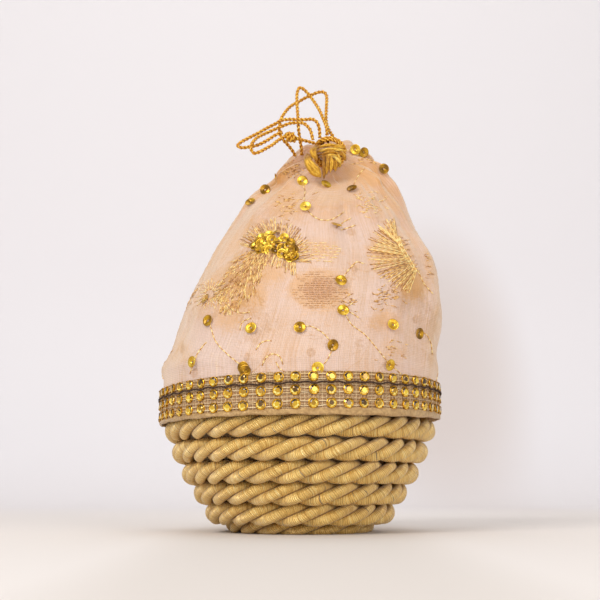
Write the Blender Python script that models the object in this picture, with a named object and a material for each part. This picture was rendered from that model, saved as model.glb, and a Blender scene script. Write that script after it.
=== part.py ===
# Potli bag. A satin rope is coiled round a thin cup to make the base, a tape set with three rows of faceted
# stones covers the join, and a sheer cloth pouch rises from it to a gathered neck with a metallic drawstring.
# Units are metres, +Z is up and the front faces -Y. The origin is the centre of the foot, on the surface
# that the bag stands on.
import math

import bmesh
import bpy
from mathutils import Vector

MM = 0.001
CLEARANCE = 0.3 * MM            # gap between pieces that touch

# Rope of three strands, coiled as three flat rows and then as wall rows
ROPE_RADIUS = 4.55 * MM
ROPE_VALLEY_RADIUS = 3.4 * MM   # depth of the groove between strands, from the rope's centre
ROPE_LAY = 31.7 * MM            # length in which a strand goes once round the rope
ROPE_STRANDS = 3
POINTS_PER_STRAND = 3           # across a strand, the first in the groove beside it
RINGS_PER_LAY = 6
SHARPEST_TURN = 20.0            # degrees that the rope turns between two rings at most
FLOOR_ROWS = 3
FLOOR_SPREAD = 0.3 * MM         # extra room between the flat rows, which turn more tightly
FOOT_RADIUS = 26.2 * MM         # centre line of the foot row
FOOT_PRESS = 1.1 * MM           # how far the rope is pressed flat where it stands
WALL_LEANS = (28.0, 57.0, 58.5, 64.0, 69.5, 90.5)   # degrees, each wall row above the one below
LEVEL_ARC = 160.0               # degrees across the front in which the rows lie level
ROPE_TUCK = 40.0                # degrees by which the first end is tucked into the middle
CLIMB_EASE = 0.3                # how gently a row starts and ends its climb at the back

# Cup that the rope is glued round
CUP_WALL = 1.0 * MM
CUP_RISE = 3.0 * MM             # rim above the top row's centre line
CUP_SIDES = 32

# Trim band: a tape with stones set in cups
TAPE_THICKNESS = 0.6 * MM
STONE_ROWS = 3
STONE_COLUMNS = 56
STONE_ROW_PITCH = 4.97 * MM
STONE_RADIUS = 1.9 * MM
STONE_TABLE_RADIUS = 1.25 * MM
STONE_HEIGHT = 1.1 * MM
BAND_OVERLAP = 1.35 * MM        # band's lower edge below the top row's underside

# Thread that is couched between the top two rows of stones
THREAD_RADIUS = 0.42 * MM
THREAD_SIDES = 6

# Pouch of sheer cloth
CLOTH_THICKNESS = 0.6 * MM
HEM_INSET = 1.0 * MM            # hem above the band's lower edge
PLEATS = 13
PLEAT_POINTS = 5                # points round the cloth for each pleat
PLEAT_UNEVENNESS = 0.35         # how much the pleats' depth varies round the cloth
SECTION_STEPS = 2
# One row for each section: height above the band, centre across, centre in depth, how much narrower than the
# hem it is at each side and at front and back, tilt in degrees that lifts the back, and depth of the gathers
# as a share of the radius
POUCH_SECTIONS = (
    (6.5 * MM, 0.3 * MM, 0.0 * MM, -0.6 * MM, -0.3 * MM, 0.0, 0.004),
    (17.0 * MM, 2.4 * MM, 0.0 * MM, 1.6 * MM, 1.9 * MM, 0.0, 0.005),
    (35.0 * MM, 6.2 * MM, 0.0 * MM, 3.6 * MM, 4.7 * MM, 2.0, 0.005),
    (53.0 * MM, 9.2 * MM, -0.5 * MM, 8.7 * MM, 10.3 * MM, 5.0, 0.010),
    (69.0 * MM, 9.3 * MM, -1.5 * MM, 17.5 * MM, 17.8 * MM, 10.0, 0.015),
    (81.0 * MM, 10.6 * MM, -3.0 * MM, 24.9 * MM, 24.3 * MM, 18.0, 0.025),
    (89.5 * MM, 12.6 * MM, -5.0 * MM, 32.3 * MM, 32.3 * MM, 29.0, 0.045),
    (95.3 * MM, 13.6 * MM, -7.5 * MM, 38.0 * MM, 39.8 * MM, 44.0, 0.070),
    (97.3 * MM, 13.2 * MM, -11.3 * MM, 44.5 * MM, 46.5 * MM, 66.0, 0.100),
)
# Soft folds that run up the cloth: how many round it, how deep, and how far they drift for each section
POUCH_FOLDS = (
    (5, 0.68 * MM, 0.75),
    (8, 0.6 * MM, -0.9),
    (11, 0.68 * MM, 0.6),
    (17, 0.52 * MM, -0.45),
)
FOLD_START = 2.4                # shifts each set of folds round the cloth by this, times its number of folds
FOLD_SHARES = (0.0, 0.0, 0.25, 0.3, 0.35, 0.4, 0.55, 0.75, 1.0, 1.0, 0.7, 0.0)  # of the depth, at each station
# Places where the cloth is pushed in or out: station, angle round the cloth in degrees, how far, and the reach
# in stations and in degrees
POUCH_DENTS = (
    (7.95, 188.0, -3.4 * MM, 0.4, 22.0),
    (7.2, 190.0, 0.9 * MM, 0.5, 20.0),
    (8.9, 212.0, 1.6 * MM, 0.6, 18.0),
    (9.2, 268.0, -2.2 * MM, 0.8, 20.0),
    (8.9, 330.0, 1.4 * MM, 0.6, 18.0),
    (8.4, 2.0, -1.8 * MM, 0.45, 16.0),
    (5.2, 300.0, -1.6 * MM, 1.0, 16.0),
    (4.2, 235.0, 1.2 * MM, 1.0, 18.0),
)
DENT_END = 10.6                 # station past which the cloth is drawn tight and has no dents
NECK_HEIGHT = 97.8 * MM         # neck's axis above the band; the neck lies level and points to the front
NECK_ACROSS = 12.5 * MM
NECK_DEPTH = -14.5 * MM
NECK_RADIUS = 4.6 * MM
NECK_GATHER = 0.09
# Frill past the neck: forward of the neck's end, rise of its centre, half width, half height and gather
FRILL_SECTIONS = (
    (0.9 * MM, -2.6 * MM, 8.6 * MM, 8.0 * MM, 0.14),
    (3.4 * MM, -4.0 * MM, 8.2 * MM, 8.0 * MM, 0.20),
    (3.0 * MM, -3.6 * MM, 3.0 * MM, 4.2 * MM, 0.16),
)
FRILL_DIMPLE = 1.4 * MM         # bottom of the closed mouth, forward of the neck's end

# Sequins sewn to the pouch, each at a station along its sections and an angle in degrees round them
SEQUIN_RADIUS = 2.3 * MM
SEQUIN_THICKNESS = 0.4 * MM
SEQUIN_SIDES = 8
SEQUINS = (
    (2.95, 251.0), (2.95, 270.0), (3.95, 286.0), (3.3, 287.0), (2.55, 282.0), (3.1, 308.0), (3.05, 324.0),
    (5.65, 277.0), (6.7, 259.0), (8.25, 285.0), (7.6, 214.0), (3.3, 223.0), (3.9, 217.0), (2.1, 226.0),
    (1.6, 249.0), (1.5, 276.0), (1.9, 306.0),
    (2.6, 12.0), (3.9, 30.0), (2.2, 52.0), (5.2, 70.0), (3.3, 88.0), (2.3, 118.0), (4.3, 135.0), (3.1, 165.0),
)

# Metallic drawstring
CORD_RADIUS = 0.75 * MM
CORD_BEVEL_RESOLUTION = 2
CORD_STEP = 3.6 * MM            # distance between the points of a cord
ROUTE_DETAIL = 12               # straight pieces that a route's curve is measured in, between two of its points
WINDING_START = 1.6 * MM        # centre of the first turn round the neck, forward of the neck's root
WINDING_TURNS = 1.5
WINDING_POINTS = 20
KNOT_RADIUS = 2.7 * MM
KNOT_SHOULDER_RADIUS = 2.1 * MM
KNOT_LENGTH = 5.0 * MM
KNOT_SHOULDER = 0.8 * MM        # length of the rounded end of the knot
KNOT_BORE_SLACK = 0.25 * MM
KNOT_SIDES = 10

# Routes of the loose loops, in millimetres: each leaves the neck, and the last passes through the knot
KNOT_CENTRE = (-4.0, -21.5, 163.0)
LOOP_RIGHT = (
    (14.1, -17.0, 165.1), (12.2, -15.0, 169.1), (11.3, -13.0, 173.9), (11.5, -11.0, 179.9), (11.7, -9.0, 186.2),
    (10.4, -8.0, 188.6), (7.9, -7.0, 188.9), (4.9, -6.0, 188.0), (2.0, -5.5, 186.7), (-0.9, -6.0, 184.7),
    (-3.8, -7.5, 182.4), (-6.3, -9.5, 178.9), (-8.4, -11.5, 174.2), (-8.8, -12.5, 169.3), (-7.6, -12.3, 165.7),
    (-5.2, -11.2, 163.2), (-3.4, -9.9, 161.2), (-2.3, -8.9, 159.8),
)
LOOP_LEFT = (
    (11.5, -18.3, 165.1), (11.3, -18.3, 168.6), (10.1, -16.5, 172.9), (8.6, -14.5, 177.4), (6.7, -12.5, 181.6),
    (4.4, -11.0, 185.6), (2.1, -10.5, 188.5), (0.1, -11.0, 189.4), (-1.0, -12.0, 187.3), (-1.3, -13.0, 182.9),
    (-0.8, -15.6, 173.3), (-0.6, -15.4, 168.7), (-0.1, -14.2, 165.2), (0.6, -12.6, 161.6), (0.4, -11.5, 159.3),
)
LOOP_LONG = (
    (8.4, -17.6, 164.1), (8.2, -19.5, 167.3), (7.2, -20.5, 170.0), (5.2, -20.0, 171.6), (2.0, -19.0, 171.8),
    (-1.3, -18.5, 172.0), (-4.4, -18.0, 172.3), (-7.6, -17.0, 172.3), (-10.8, -16.5, 170.7), (-14.3, -16.5, 168.8),
    (-17.8, -17.0, 166.5), (-21.3, -17.5, 164.4), (-24.8, -18.5, 162.0), (-26.2, -20.0, 159.9),
    (-24.6, -21.2, 158.6), (-21.4, -22.0, 158.6), (-17.6, -22.2, 159.4), (-13.6, -22.0, 161.6),
    (-10.3, -21.6, 164.0), (-7.4, -21.4, 165.3),
)
LOOP_RETURN = (
    (6.1, -17.2, 161.9), (3.0, -18.8, 162.2), (0.0, -20.5, 162.4), (-1.3, -21.1, 162.8), KNOT_CENTRE,
    (-6.8, -21.9, 162.8), (-9.2, -23.2, 161.0), (-11.4, -25.0, 158.5), (-13.8, -26.3, 156.6),
    (-16.6, -27.0, 154.8), (-19.1, -27.0, 154.2), (-20.3, -26.6, 156.4), (-19.8, -25.2, 159.2),
    (-17.8, -22.4, 162.6), (-14.2, -20.0, 165.4), (-10.6, -19.5, 167.3), (-7.5, -20.0, 168.5),
    (-4.4, -20.6, 169.5), (-1.2, -21.2, 169.6), (1.3, -22.0, 169.1), (3.2, -22.6, 167.5), (4.6, -23.2, 165.0),
    (5.4, -23.4, 161.2),
)


def linear(red, green, blue):
    # Colour as seen on a screen, 0 to 255, turned to the linear values that a material takes
    def channel(value):
        value /= 255
        return value / 12.92 if value <= 0.04045 else ((value + 0.055) / 1.055) ** 2.4
    return channel(red), channel(green), channel(blue), 1.0


def material(name, colour, roughness, metallic=0.0):
    made = bpy.data.materials.new(name)
    made.use_nodes = True
    shader = made.node_tree.nodes["Principled BSDF"]
    shader.inputs["Base Color"].default_value = colour
    shader.inputs["Roughness"].default_value = roughness
    shader.inputs["Metallic"].default_value = metallic
    return made


def add_object(name, mesh_builder, finish, smooth_angle=None):
    mesh = bpy.data.meshes.new(name)
    bmesh.ops.recalc_face_normals(mesh_builder, faces=mesh_builder.faces)
    mesh_builder.to_mesh(mesh)
    mesh_builder.free()
    if smooth_angle is not None:
        mesh.shade_smooth()
        mesh.set_sharp_from_angle(angle=math.radians(smooth_angle))
    made = bpy.data.objects.new(name, mesh)
    mesh.materials.append(finish)
    bpy.context.collection.objects.link(made)
    return made


def bridge(builder, ring, next_ring):
    count = len(ring)
    for i in range(count):
        j = (i + 1) % count
        builder.faces.new((ring[i], ring[j], next_ring[j], next_ring[i]))


def bridge_twisted(builder, ring, next_ring):
    # Triangles whose long edges follow the strands of a twisted rope
    count = len(ring)
    for i in range(count):
        j = (i + 1) % count
        builder.faces.new((ring[i], ring[j], next_ring[i]))
        builder.faces.new((ring[j], next_ring[j], next_ring[i]))


def fan(builder, ring, tip):
    centre = builder.verts.new(tip)
    for i, vertex in enumerate(ring):
        builder.faces.new((vertex, ring[(i + 1) % len(ring)], centre))


def middle(points):
    return sum(points, Vector()) / len(points)


def skin(rings, last_tip=None, join=bridge):
    # Closed skin through rings of points, with a fan of faces at each end
    builder = bmesh.new()
    made = [[builder.verts.new(point) for point in ring] for ring in rings]
    for ring, next_ring in zip(made, made[1:]):
        join(builder, ring, next_ring)
    fan(builder, made[0], middle(rings[0]))
    fan(builder, made[-1], last_tip or middle(rings[-1]))
    return builder


def circle(radius, height, sides):
    return [Vector((radius * math.cos(2 * math.pi * i / sides), radius * math.sin(2 * math.pi * i / sides),
                    height)) for i in range(sides)]


def smooth_value(values, position):
    # Value at a position along a list of numbers, on a smooth curve through all of them
    index = min(int(position), len(values) - 2)
    share = position - index
    before, start = values[max(index - 1, 0)], values[index]
    end, after = values[index + 1], values[min(index + 2, len(values) - 1)]
    return 0.5 * (2 * start + (end - before) * share
                  + (2 * before - 5 * start + 4 * end - after) * share ** 2
                  + (3 * start - before - 3 * end + after) * share ** 3)


# Rope base

def coil_rows():
    # Radius and height of the rope's centre line in each row, from the middle of the floor to the rim
    floor_pitch = 2 * ROPE_RADIUS + CLEARANCE + FLOOR_SPREAD
    foot_height = ROPE_RADIUS - FOOT_PRESS
    rows = [(FOOT_RADIUS - floor_pitch * i, foot_height) for i in reversed(range(FLOOR_ROWS))]
    for lean in WALL_LEANS:
        radius, height = rows[-1]
        pitch = 2 * ROPE_RADIUS + CLEARANCE
        rows.append((radius + pitch * math.cos(math.radians(lean)),
                     height + pitch * math.sin(math.radians(lean))))
    return rows


ROWS = coil_rows()


def rope_place(turns):
    # Centre of the rope after a number of turns: level across the front, then one row further at the back
    level = LEVEL_ARC / 360
    whole = math.floor(turns)
    share = max(0.0, (turns - whole - level) / (1 - level))
    climb = share - CLIMB_EASE * math.sin(2 * math.pi * share) / (2 * math.pi)
    step = ROWS[1][0] - ROWS[0][0]
    radius, height = ROWS[whole] if whole >= 0 else (ROWS[0][0] - step, ROWS[0][1])
    next_radius, next_height = ROWS[min(whole + 1, len(ROWS) - 1)]
    radius += (next_radius - radius) * climb
    height += (next_height - height) * climb
    angle = 2 * math.pi * turns - math.radians(90 + LEVEL_ARC / 2)
    return Vector((radius * math.cos(angle), radius * math.sin(angle), height))


def rope_ring(turns, twist):
    # Ring of points across the rope, pressed flat where it would reach below the surface it stands on
    here = rope_place(turns)
    nearby = 0.001
    along = (rope_place(turns + nearby) - rope_place(turns - nearby)).normalized()
    out = Vector((here.x, here.y, 0))
    out = (out - along * out.dot(along)).normalized()
    up = out.cross(along)
    ring = []
    for i in range(POINTS_PER_STRAND * ROPE_STRANDS):
        angle = 2 * math.pi * i / (POINTS_PER_STRAND * ROPE_STRANDS) + twist
        radius = ROPE_VALLEY_RADIUS if i % POINTS_PER_STRAND == 0 else ROPE_RADIUS
        point = here + (out * math.cos(angle) + up * math.sin(angle)) * radius
        point.z = max(point.z, 0.0)
        ring.append(point)
    return ring


def make_rope_coil(finish):
    longest_step = ROPE_LAY / RINGS_PER_LAY
    turns = -ROPE_TUCK / 360
    last = len(ROWS) - 1 + LEVEL_ARC / 360
    length = 0.0
    rings = []
    while turns < last:
        rings.append(rope_ring(turns, 2 * math.pi * length / ROPE_LAY))
        radius = rope_place(turns).xy.length
        step = min(longest_step, math.radians(SHARPEST_TURN) * radius)
        length += step
        turns += step / (2 * math.pi * radius)
    return add_object("rope_coil", skin(rings, join=bridge_twisted), finish, smooth_angle=70)


def offset_rows(distance):
    # Outline of the coil's inner side, a distance in from the rope's centre line, from foot to rim
    points = [Vector((0.0, ROWS[0][1]))] + [Vector(row) for row in ROWS[FLOOR_ROWS - 1:]]
    points.append(points[-1] + Vector((0.0, CUP_RISE)))
    outline = []
    for i, point in enumerate(points):
        to_here = (point - points[i - 1]).normalized() if i > 0 else Vector((1.0, 0.0))
        onward = (points[i + 1] - point).normalized() if i + 1 < len(points) else to_here
        inward = Vector((-to_here.y, to_here.x)) + Vector((-onward.y, onward.x))
        inward.normalize()
        reach = distance / inward.dot(Vector((-to_here.y, to_here.x)))
        outline.append(point + inward * reach)
    return outline[1:]


def make_inner_cup(finish):
    outer = offset_rows(ROPE_RADIUS + CLEARANCE)
    inner = offset_rows(ROPE_RADIUS + CLEARANCE + CUP_WALL)
    outline = outer + inner[::-1]
    rings = [circle(point.x, point.y, CUP_SIDES) for point in outline]
    return add_object("inner_cup", skin(rings), finish, smooth_angle=40)


# Sizes that the band, the thread and the pouch share

HEM_INNER_RADIUS = ROWS[-1][0] + ROPE_RADIUS + CLEARANCE
HEM_OUTER_RADIUS = HEM_INNER_RADIUS + CLOTH_THICKNESS
TAPE_INNER_RADIUS = HEM_OUTER_RADIUS + CLEARANCE
TAPE_OUTER_RADIUS = TAPE_INNER_RADIUS + TAPE_THICKNESS
BAND_BOTTOM = ROWS[-1][1] - ROPE_RADIUS - BAND_OVERLAP
BAND_TOP = BAND_BOTTOM + STONE_ROWS * STONE_ROW_PITCH


def on_band(angle, height, radius):
    return Vector((radius * math.cos(angle), radius * math.sin(angle), height))


def make_trim_band(finish):
    # One cell of tape for each stone, with a six-sided stone standing in it
    builder = bmesh.new()
    cell_angle = 2 * math.pi / STONE_COLUMNS
    heights = [BAND_BOTTOM + STONE_ROW_PITCH * row for row in range(STONE_ROWS + 1)]
    face = [[builder.verts.new(on_band(cell_angle * column, height, TAPE_OUTER_RADIUS))
             for column in range(STONE_COLUMNS)] for height in heights]
    back = [[builder.verts.new(on_band(cell_angle * column, height, TAPE_INNER_RADIUS))
             for column in range(STONE_COLUMNS)] for height in (heights[0], heights[-1])]
    bridge(builder, back[1], back[0])
    bridge(builder, back[0], face[0])
    bridge(builder, face[-1], back[1])

    def stone_ring(middle_angle, middle_height, radius, out):
        ring = []
        for i in range(6):
            turn = math.radians(60 * i)
            ring.append(builder.verts.new(on_band(middle_angle + radius * math.cos(turn) / TAPE_OUTER_RADIUS,
                                                  middle_height + radius * math.sin(turn), out)))
        return ring

    for row in range(STONE_ROWS):
        for column in range(STONE_COLUMNS):
            after = (column + 1) % STONE_COLUMNS
            low_left, low_right = face[row][column], face[row][after]
            high_left, high_right = face[row + 1][column], face[row + 1][after]
            centre = (cell_angle * (column + 0.5), (heights[row] + heights[row + 1]) / 2)
            seat = stone_ring(*centre, STONE_RADIUS, TAPE_OUTER_RADIUS)
            table = stone_ring(*centre, STONE_TABLE_RADIUS, TAPE_OUTER_RADIUS + STONE_HEIGHT)
            bridge(builder, seat, table)
            builder.faces.new(table)
            # The seat's corners run from the right, over the top, round to the lower right
            surround = ((high_right, seat[1], seat[0]), (high_right, high_left, seat[2], seat[1]),
                        (high_left, seat[3], seat[2]), (high_left, low_left, seat[3]),
                        (low_left, seat[4], seat[3]), (low_left, low_right, seat[5], seat[4]),
                        (low_right, seat[0], seat[5]), (low_right, high_right, seat[0]))
            for corners in surround:
                builder.faces.new(corners)
    return add_object("trim_band", builder, finish)


def make_trim_thread(finish):
    builder = bmesh.new()
    centre_radius = TAPE_OUTER_RADIUS + CLEARANCE + THREAD_RADIUS
    centre_height = BAND_TOP - STONE_ROW_PITCH
    rings = []
    for column in range(STONE_COLUMNS):
        around = 2 * math.pi * column / STONE_COLUMNS
        ring = []
        for side in range(THREAD_SIDES):
            turn = 2 * math.pi * side / THREAD_SIDES
            ring.append(builder.verts.new(on_band(around, centre_height + THREAD_RADIUS * math.sin(turn),
                                                  centre_radius + THREAD_RADIUS * math.cos(turn))))
        rings.append(ring)
    for ring, next_ring in zip(rings, rings[1:] + rings[:1]):
        bridge(builder, ring, next_ring)
    return add_object("trim_thread", builder, finish, smooth_angle=70)


# Pouch

def gathered_ring(centre, half_width, half_depth, tilt, gather, push=None):
    # Closed ring in a plane that tilts about the X direction, waved by the gathers and pushed out by the folds
    back = Vector((0.0, math.cos(math.radians(tilt)), math.sin(math.radians(tilt))))
    ring = []
    for i in range(PLEAT_POINTS * PLEATS):
        around = 2 * math.pi * i / (PLEAT_POINTS * PLEATS)
        wave = 1 + gather * math.cos(PLEATS * around) * (1 + PLEAT_UNEVENNESS * math.cos(3 * around + 1))
        out = push(around) if push else 0.0
        ring.append(centre + Vector(((half_width * wave + out) * math.cos(around), 0, 0))
                    + back * (half_depth * wave + out) * math.sin(around))
    return ring


def fold_push(station, around):
    # How far folds and dents push the cloth out at a station and an angle round it, in radians
    index = min(int(station), len(FOLD_SHARES) - 2)
    share = FOLD_SHARES[index] + (FOLD_SHARES[index + 1] - FOLD_SHARES[index]) * (station - index)
    push = sum(share * depth * math.cos(count * (around + FOLD_START) + drift * station)
               for count, depth, drift in POUCH_FOLDS)
    if 1 < station < DENT_END:
        for place, angle, far, tall, broad in POUCH_DENTS:
            turned = (math.degrees(around) - angle + 180) % 360 - 180
            push += far * math.exp(-((station - place) / tall) ** 2 - (turned / broad) ** 2)
    return push


def section_table():
    # Height, centre, half width, half depth, tilt and gather of each section, from the hem behind the band up
    radius = HEM_OUTER_RADIUS
    table = [(BAND_BOTTOM + HEM_INSET - BAND_TOP, 0.0, 0.0, radius, radius, 0.0, 0.0),
             (0.0, 0.0, 0.0, radius, radius, 0.0, 0.0)]
    for height, across, depth, side_inset, depth_inset, tilt, gather in POUCH_SECTIONS:
        table.append((height, across, depth, radius - side_inset, radius - depth_inset, tilt, gather))
    table.append((NECK_HEIGHT, NECK_ACROSS, NECK_DEPTH, NECK_RADIUS, NECK_RADIUS, 90.0, NECK_GATHER))
    return table


def pouch_ring(station, inward=0.0):
    height, across, depth, half_width, half_depth, tilt, gather = (
        smooth_value(column, station) for column in zip(*section_table()))
    centre = Vector((across, depth, BAND_TOP + height))
    return gathered_ring(centre, half_width - inward, half_depth - inward, tilt, gather,
                         lambda around: fold_push(station, around))


def pouch_stations(last):
    # Straight behind the band, then equal steps between the sections
    return [0.0] + [1 + i / SECTION_STEPS for i in range(SECTION_STEPS * (last - 1) + 1)]


def make_pouch(finish):
    neck_station = len(section_table()) - 1
    roof_station = neck_station - 2
    neck_end = NECK_DEPTH - neck_length()
    neck_height = BAND_TOP + NECK_HEIGHT
    inner = [pouch_ring(station, CLOTH_THICKNESS) for station in pouch_stations(roof_station)]
    outer = [pouch_ring(station) for station in pouch_stations(neck_station)]
    outer.append(gathered_ring(Vector((NECK_ACROSS, neck_end, neck_height)), NECK_RADIUS, NECK_RADIUS, 90.0,
                               NECK_GATHER))
    for forward, rise, half_width, half_height, gather in FRILL_SECTIONS:
        centre = Vector((NECK_ACROSS, neck_end - forward, neck_height + rise))
        outer.append(gathered_ring(centre, half_width, half_height, 90.0, gather))
    last_rise = FRILL_SECTIONS[-1][1]
    dimple = Vector((NECK_ACROSS, neck_end - FRILL_DIMPLE, neck_height + last_rise))
    return add_object("pouch", skin(inner[::-1] + outer, last_tip=dimple), finish, smooth_angle=60)


def neck_length():
    # The neck holds the cord's turns, with a gap before and behind them
    return WINDING_START + WINDING_TURNS * (2 * CORD_RADIUS + CLEARANCE) + CORD_RADIUS + CLEARANCE


def cloth_point(station, angle):
    # Point on the pouch at a station along its sections and an angle round them
    ring = pouch_ring(station)
    place = (angle % 360) / 360 * len(ring)
    index = int(place)
    return ring[index].lerp(ring[(index + 1) % len(ring)], place - index)


def make_sequin(name, station, angle, finish):
    # Disc that lies on the cloth, facing out
    seat = cloth_point(station, angle)
    up, round_cloth = 0.1, 2.0    # how far away, in stations and degrees, the cloth's slope is read
    along = cloth_point(station + up, angle) - cloth_point(station - up, angle)
    around = cloth_point(station, angle + round_cloth) - cloth_point(station, angle - round_cloth)
    out = around.cross(along).normalized()
    across = around.normalized()
    down = out.cross(across)
    # The disc rests on the highest cloth below its rim
    stations_across = SEQUIN_RADIUS * 2 * up / along.length
    degrees_across = SEQUIN_RADIUS * 2 * round_cloth / around.length
    highest = 0.0
    for i in range(SEQUIN_SIDES):
        turn = 2 * math.pi * i / SEQUIN_SIDES
        below = cloth_point(station + stations_across * math.sin(turn), angle + degrees_across * math.cos(turn))
        highest = max(highest, (below - seat).dot(out))
    base = highest + CLEARANCE
    rings = []
    for lift in (base, base + SEQUIN_THICKNESS):
        ring = []
        for i in range(SEQUIN_SIDES):
            turn = 2 * math.pi * i / SEQUIN_SIDES
            ring.append(seat + out * lift + (across * math.cos(turn) + down * math.sin(turn)) * SEQUIN_RADIUS)
        rings.append(ring)
    return add_object(name, skin(rings), finish)


# Drawstring

def smooth_route(points, step):
    # Points at about equal steps on a smooth curve through the route's own points
    fine = []
    for i in range((len(points) - 1) * ROUTE_DETAIL + 1):
        fine.append(Vector([smooth_value(axis, i / ROUTE_DETAIL) for axis in zip(*points)]) * MM)
    length = sum((b - a).length for a, b in zip(fine, fine[1:]))
    count = max(2, round(length / step))
    route, walked, target = [fine[0]], 0.0, length / count
    for a, b in zip(fine, fine[1:]):
        span = (b - a).length
        while walked + span >= target * len(route) and len(route) < count:
            route.append(a.lerp(b, (target * len(route) - walked) / span))
        walked += span
    return route + [fine[-1]]


def make_cord(name, points, finish):
    curve = bpy.data.curves.new(name, "CURVE")
    curve.dimensions = "3D"
    curve.bevel_depth = CORD_RADIUS
    curve.bevel_resolution = CORD_BEVEL_RESOLUTION
    curve.use_fill_caps = True
    spline = curve.splines.new("POLY")
    spline.points.add(len(points) - 1)
    for target, point in zip(spline.points, points):
        target.co = (*point, 1.0)
    curve.materials.append(finish)
    made = bpy.data.objects.new(name, curve)
    bpy.context.collection.objects.link(made)
    return made


def winding_points():
    # Helix round the neck, clear of its highest pleats
    radius = NECK_RADIUS * (1 + (1 + PLEAT_UNEVENNESS) * NECK_GATHER) + CLEARANCE + CORD_RADIUS
    pitch = 2 * CORD_RADIUS + CLEARANCE
    points = []
    for i in range(WINDING_POINTS + 1):
        turn = WINDING_TURNS * i / WINDING_POINTS
        around = 2 * math.pi * turn + math.pi / 2
        points.append(Vector((NECK_ACROSS + radius * math.cos(around),
                              NECK_DEPTH - WINDING_START - pitch * turn,
                              BAND_TOP + NECK_HEIGHT + radius * math.sin(around))))
    return points


def make_knot(finish):
    # Turned ring round the returning loop, which runs through its bore
    here = Vector(KNOT_CENTRE) * MM
    place = LOOP_RETURN.index(KNOT_CENTRE)
    axis = (Vector(LOOP_RETURN[place + 1]) - Vector(LOOP_RETURN[place - 1])).normalized()
    side = axis.orthogonal().normalized()
    other = axis.cross(side)
    bore = (CORD_RADIUS + CLEARANCE + KNOT_BORE_SLACK) / math.cos(math.pi / KNOT_SIDES)
    end = KNOT_LENGTH / 2
    profile = ((-end, bore), (-end, KNOT_SHOULDER_RADIUS), (KNOT_SHOULDER - end, KNOT_RADIUS),
               (end - KNOT_SHOULDER, KNOT_RADIUS), (end, KNOT_SHOULDER_RADIUS), (end, bore))
    builder = bmesh.new()
    rings = []
    for along, radius in profile:
        ring = []
        for i in range(KNOT_SIDES):
            turn = 2 * math.pi * i / KNOT_SIDES
            point = here + axis * along + (side * math.cos(turn) + other * math.sin(turn)) * radius
            ring.append(builder.verts.new(point))
        rings.append(ring)
    for ring, next_ring in zip(rings, rings[1:] + rings[:1]):
        bridge(builder, ring, next_ring)
    return add_object("cord_knot", builder, finish, smooth_angle=50)


def main():
    for old in list(bpy.data.objects):
        bpy.data.objects.remove(old, do_unlink=True)
    satin = material("satin_rope", linear(200, 170, 112), 0.42)
    card = material("cup_card", linear(206, 190, 160), 0.8)
    stones = material("gold_stones", linear(206, 160, 60), 0.25, 0.3)
    thread = material("brown_thread", linear(96, 70, 44), 0.7)
    organza = material("peach_organza", linear(228, 200, 178), 0.6)
    foil = material("sequin_foil", linear(222, 180, 60), 0.2, 0.8)
    gilt = material("gilt_cord", linear(206, 148, 38), 0.35, 0.6)

    make_rope_coil(satin)
    make_inner_cup(card)
    make_trim_band(stones)
    make_trim_thread(thread)
    make_pouch(organza)
    for number, (station, angle) in enumerate(SEQUINS, 1):
        make_sequin(f"sequin_{number:02d}", station, angle, foil)
    make_cord("neck_winding", winding_points(), gilt)
    make_cord("draw_loop_right", smooth_route(LOOP_RIGHT, CORD_STEP), gilt)
    make_cord("draw_loop_left", smooth_route(LOOP_LEFT, CORD_STEP), gilt)
    make_cord("draw_loop_long", smooth_route(LOOP_LONG, CORD_STEP), gilt)
    make_cord("draw_loop_return", smooth_route(LOOP_RETURN, CORD_STEP), gilt)
    make_knot(gilt)


main()
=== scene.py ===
import math
import random

import bpy
import numpy as np
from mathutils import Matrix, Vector
from mathutils.bvhtree import BVHTree


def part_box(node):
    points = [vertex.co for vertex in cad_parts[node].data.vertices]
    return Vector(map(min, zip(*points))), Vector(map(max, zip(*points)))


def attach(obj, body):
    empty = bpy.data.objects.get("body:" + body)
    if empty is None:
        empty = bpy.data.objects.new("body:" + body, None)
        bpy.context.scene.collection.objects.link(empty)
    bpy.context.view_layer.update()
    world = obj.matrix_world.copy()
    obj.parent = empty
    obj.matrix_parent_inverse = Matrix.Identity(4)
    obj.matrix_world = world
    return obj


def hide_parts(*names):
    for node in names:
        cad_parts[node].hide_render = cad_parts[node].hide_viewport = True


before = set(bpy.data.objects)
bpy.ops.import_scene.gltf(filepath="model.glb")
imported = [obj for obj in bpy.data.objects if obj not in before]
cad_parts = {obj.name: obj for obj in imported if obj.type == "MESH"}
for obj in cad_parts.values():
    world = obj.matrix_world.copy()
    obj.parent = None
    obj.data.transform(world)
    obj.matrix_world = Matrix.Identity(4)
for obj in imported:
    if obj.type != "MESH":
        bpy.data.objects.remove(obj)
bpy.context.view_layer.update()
mm = 0.001  # lengths below are in millimetres, turned to metres where a mesh is made
dice = random.Random(7)


# Camera, at the photograph's angle

cameraSet = {"away": 430.0, "height": 17.5, "pitch": 10.508, "lens": 60.96, "sensor": 36.0, "frame": 600,
             "clip": (0.01, 20.0)}
focal = cameraSet["lens"] / cameraSet["sensor"] * cameraSet["frame"]  # in pixels


def placeCamera(s):
    data = bpy.data.cameras.new("camera")
    data.lens, data.sensor_width = s["lens"], s["sensor"]
    data.clip_start, data.clip_end = s["clip"]
    camera = bpy.data.objects.new("camera", data)
    camera.location = (0.0, -s["away"] * mm, s["height"] * mm)
    camera.rotation_euler = (math.radians(90 + s["pitch"]), 0.0, 0.0)
    bpy.context.collection.objects.link(camera)
    bpy.context.scene.camera = camera


placeCamera(cameraSet)
print("camera placed")


# Shader tools

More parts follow.
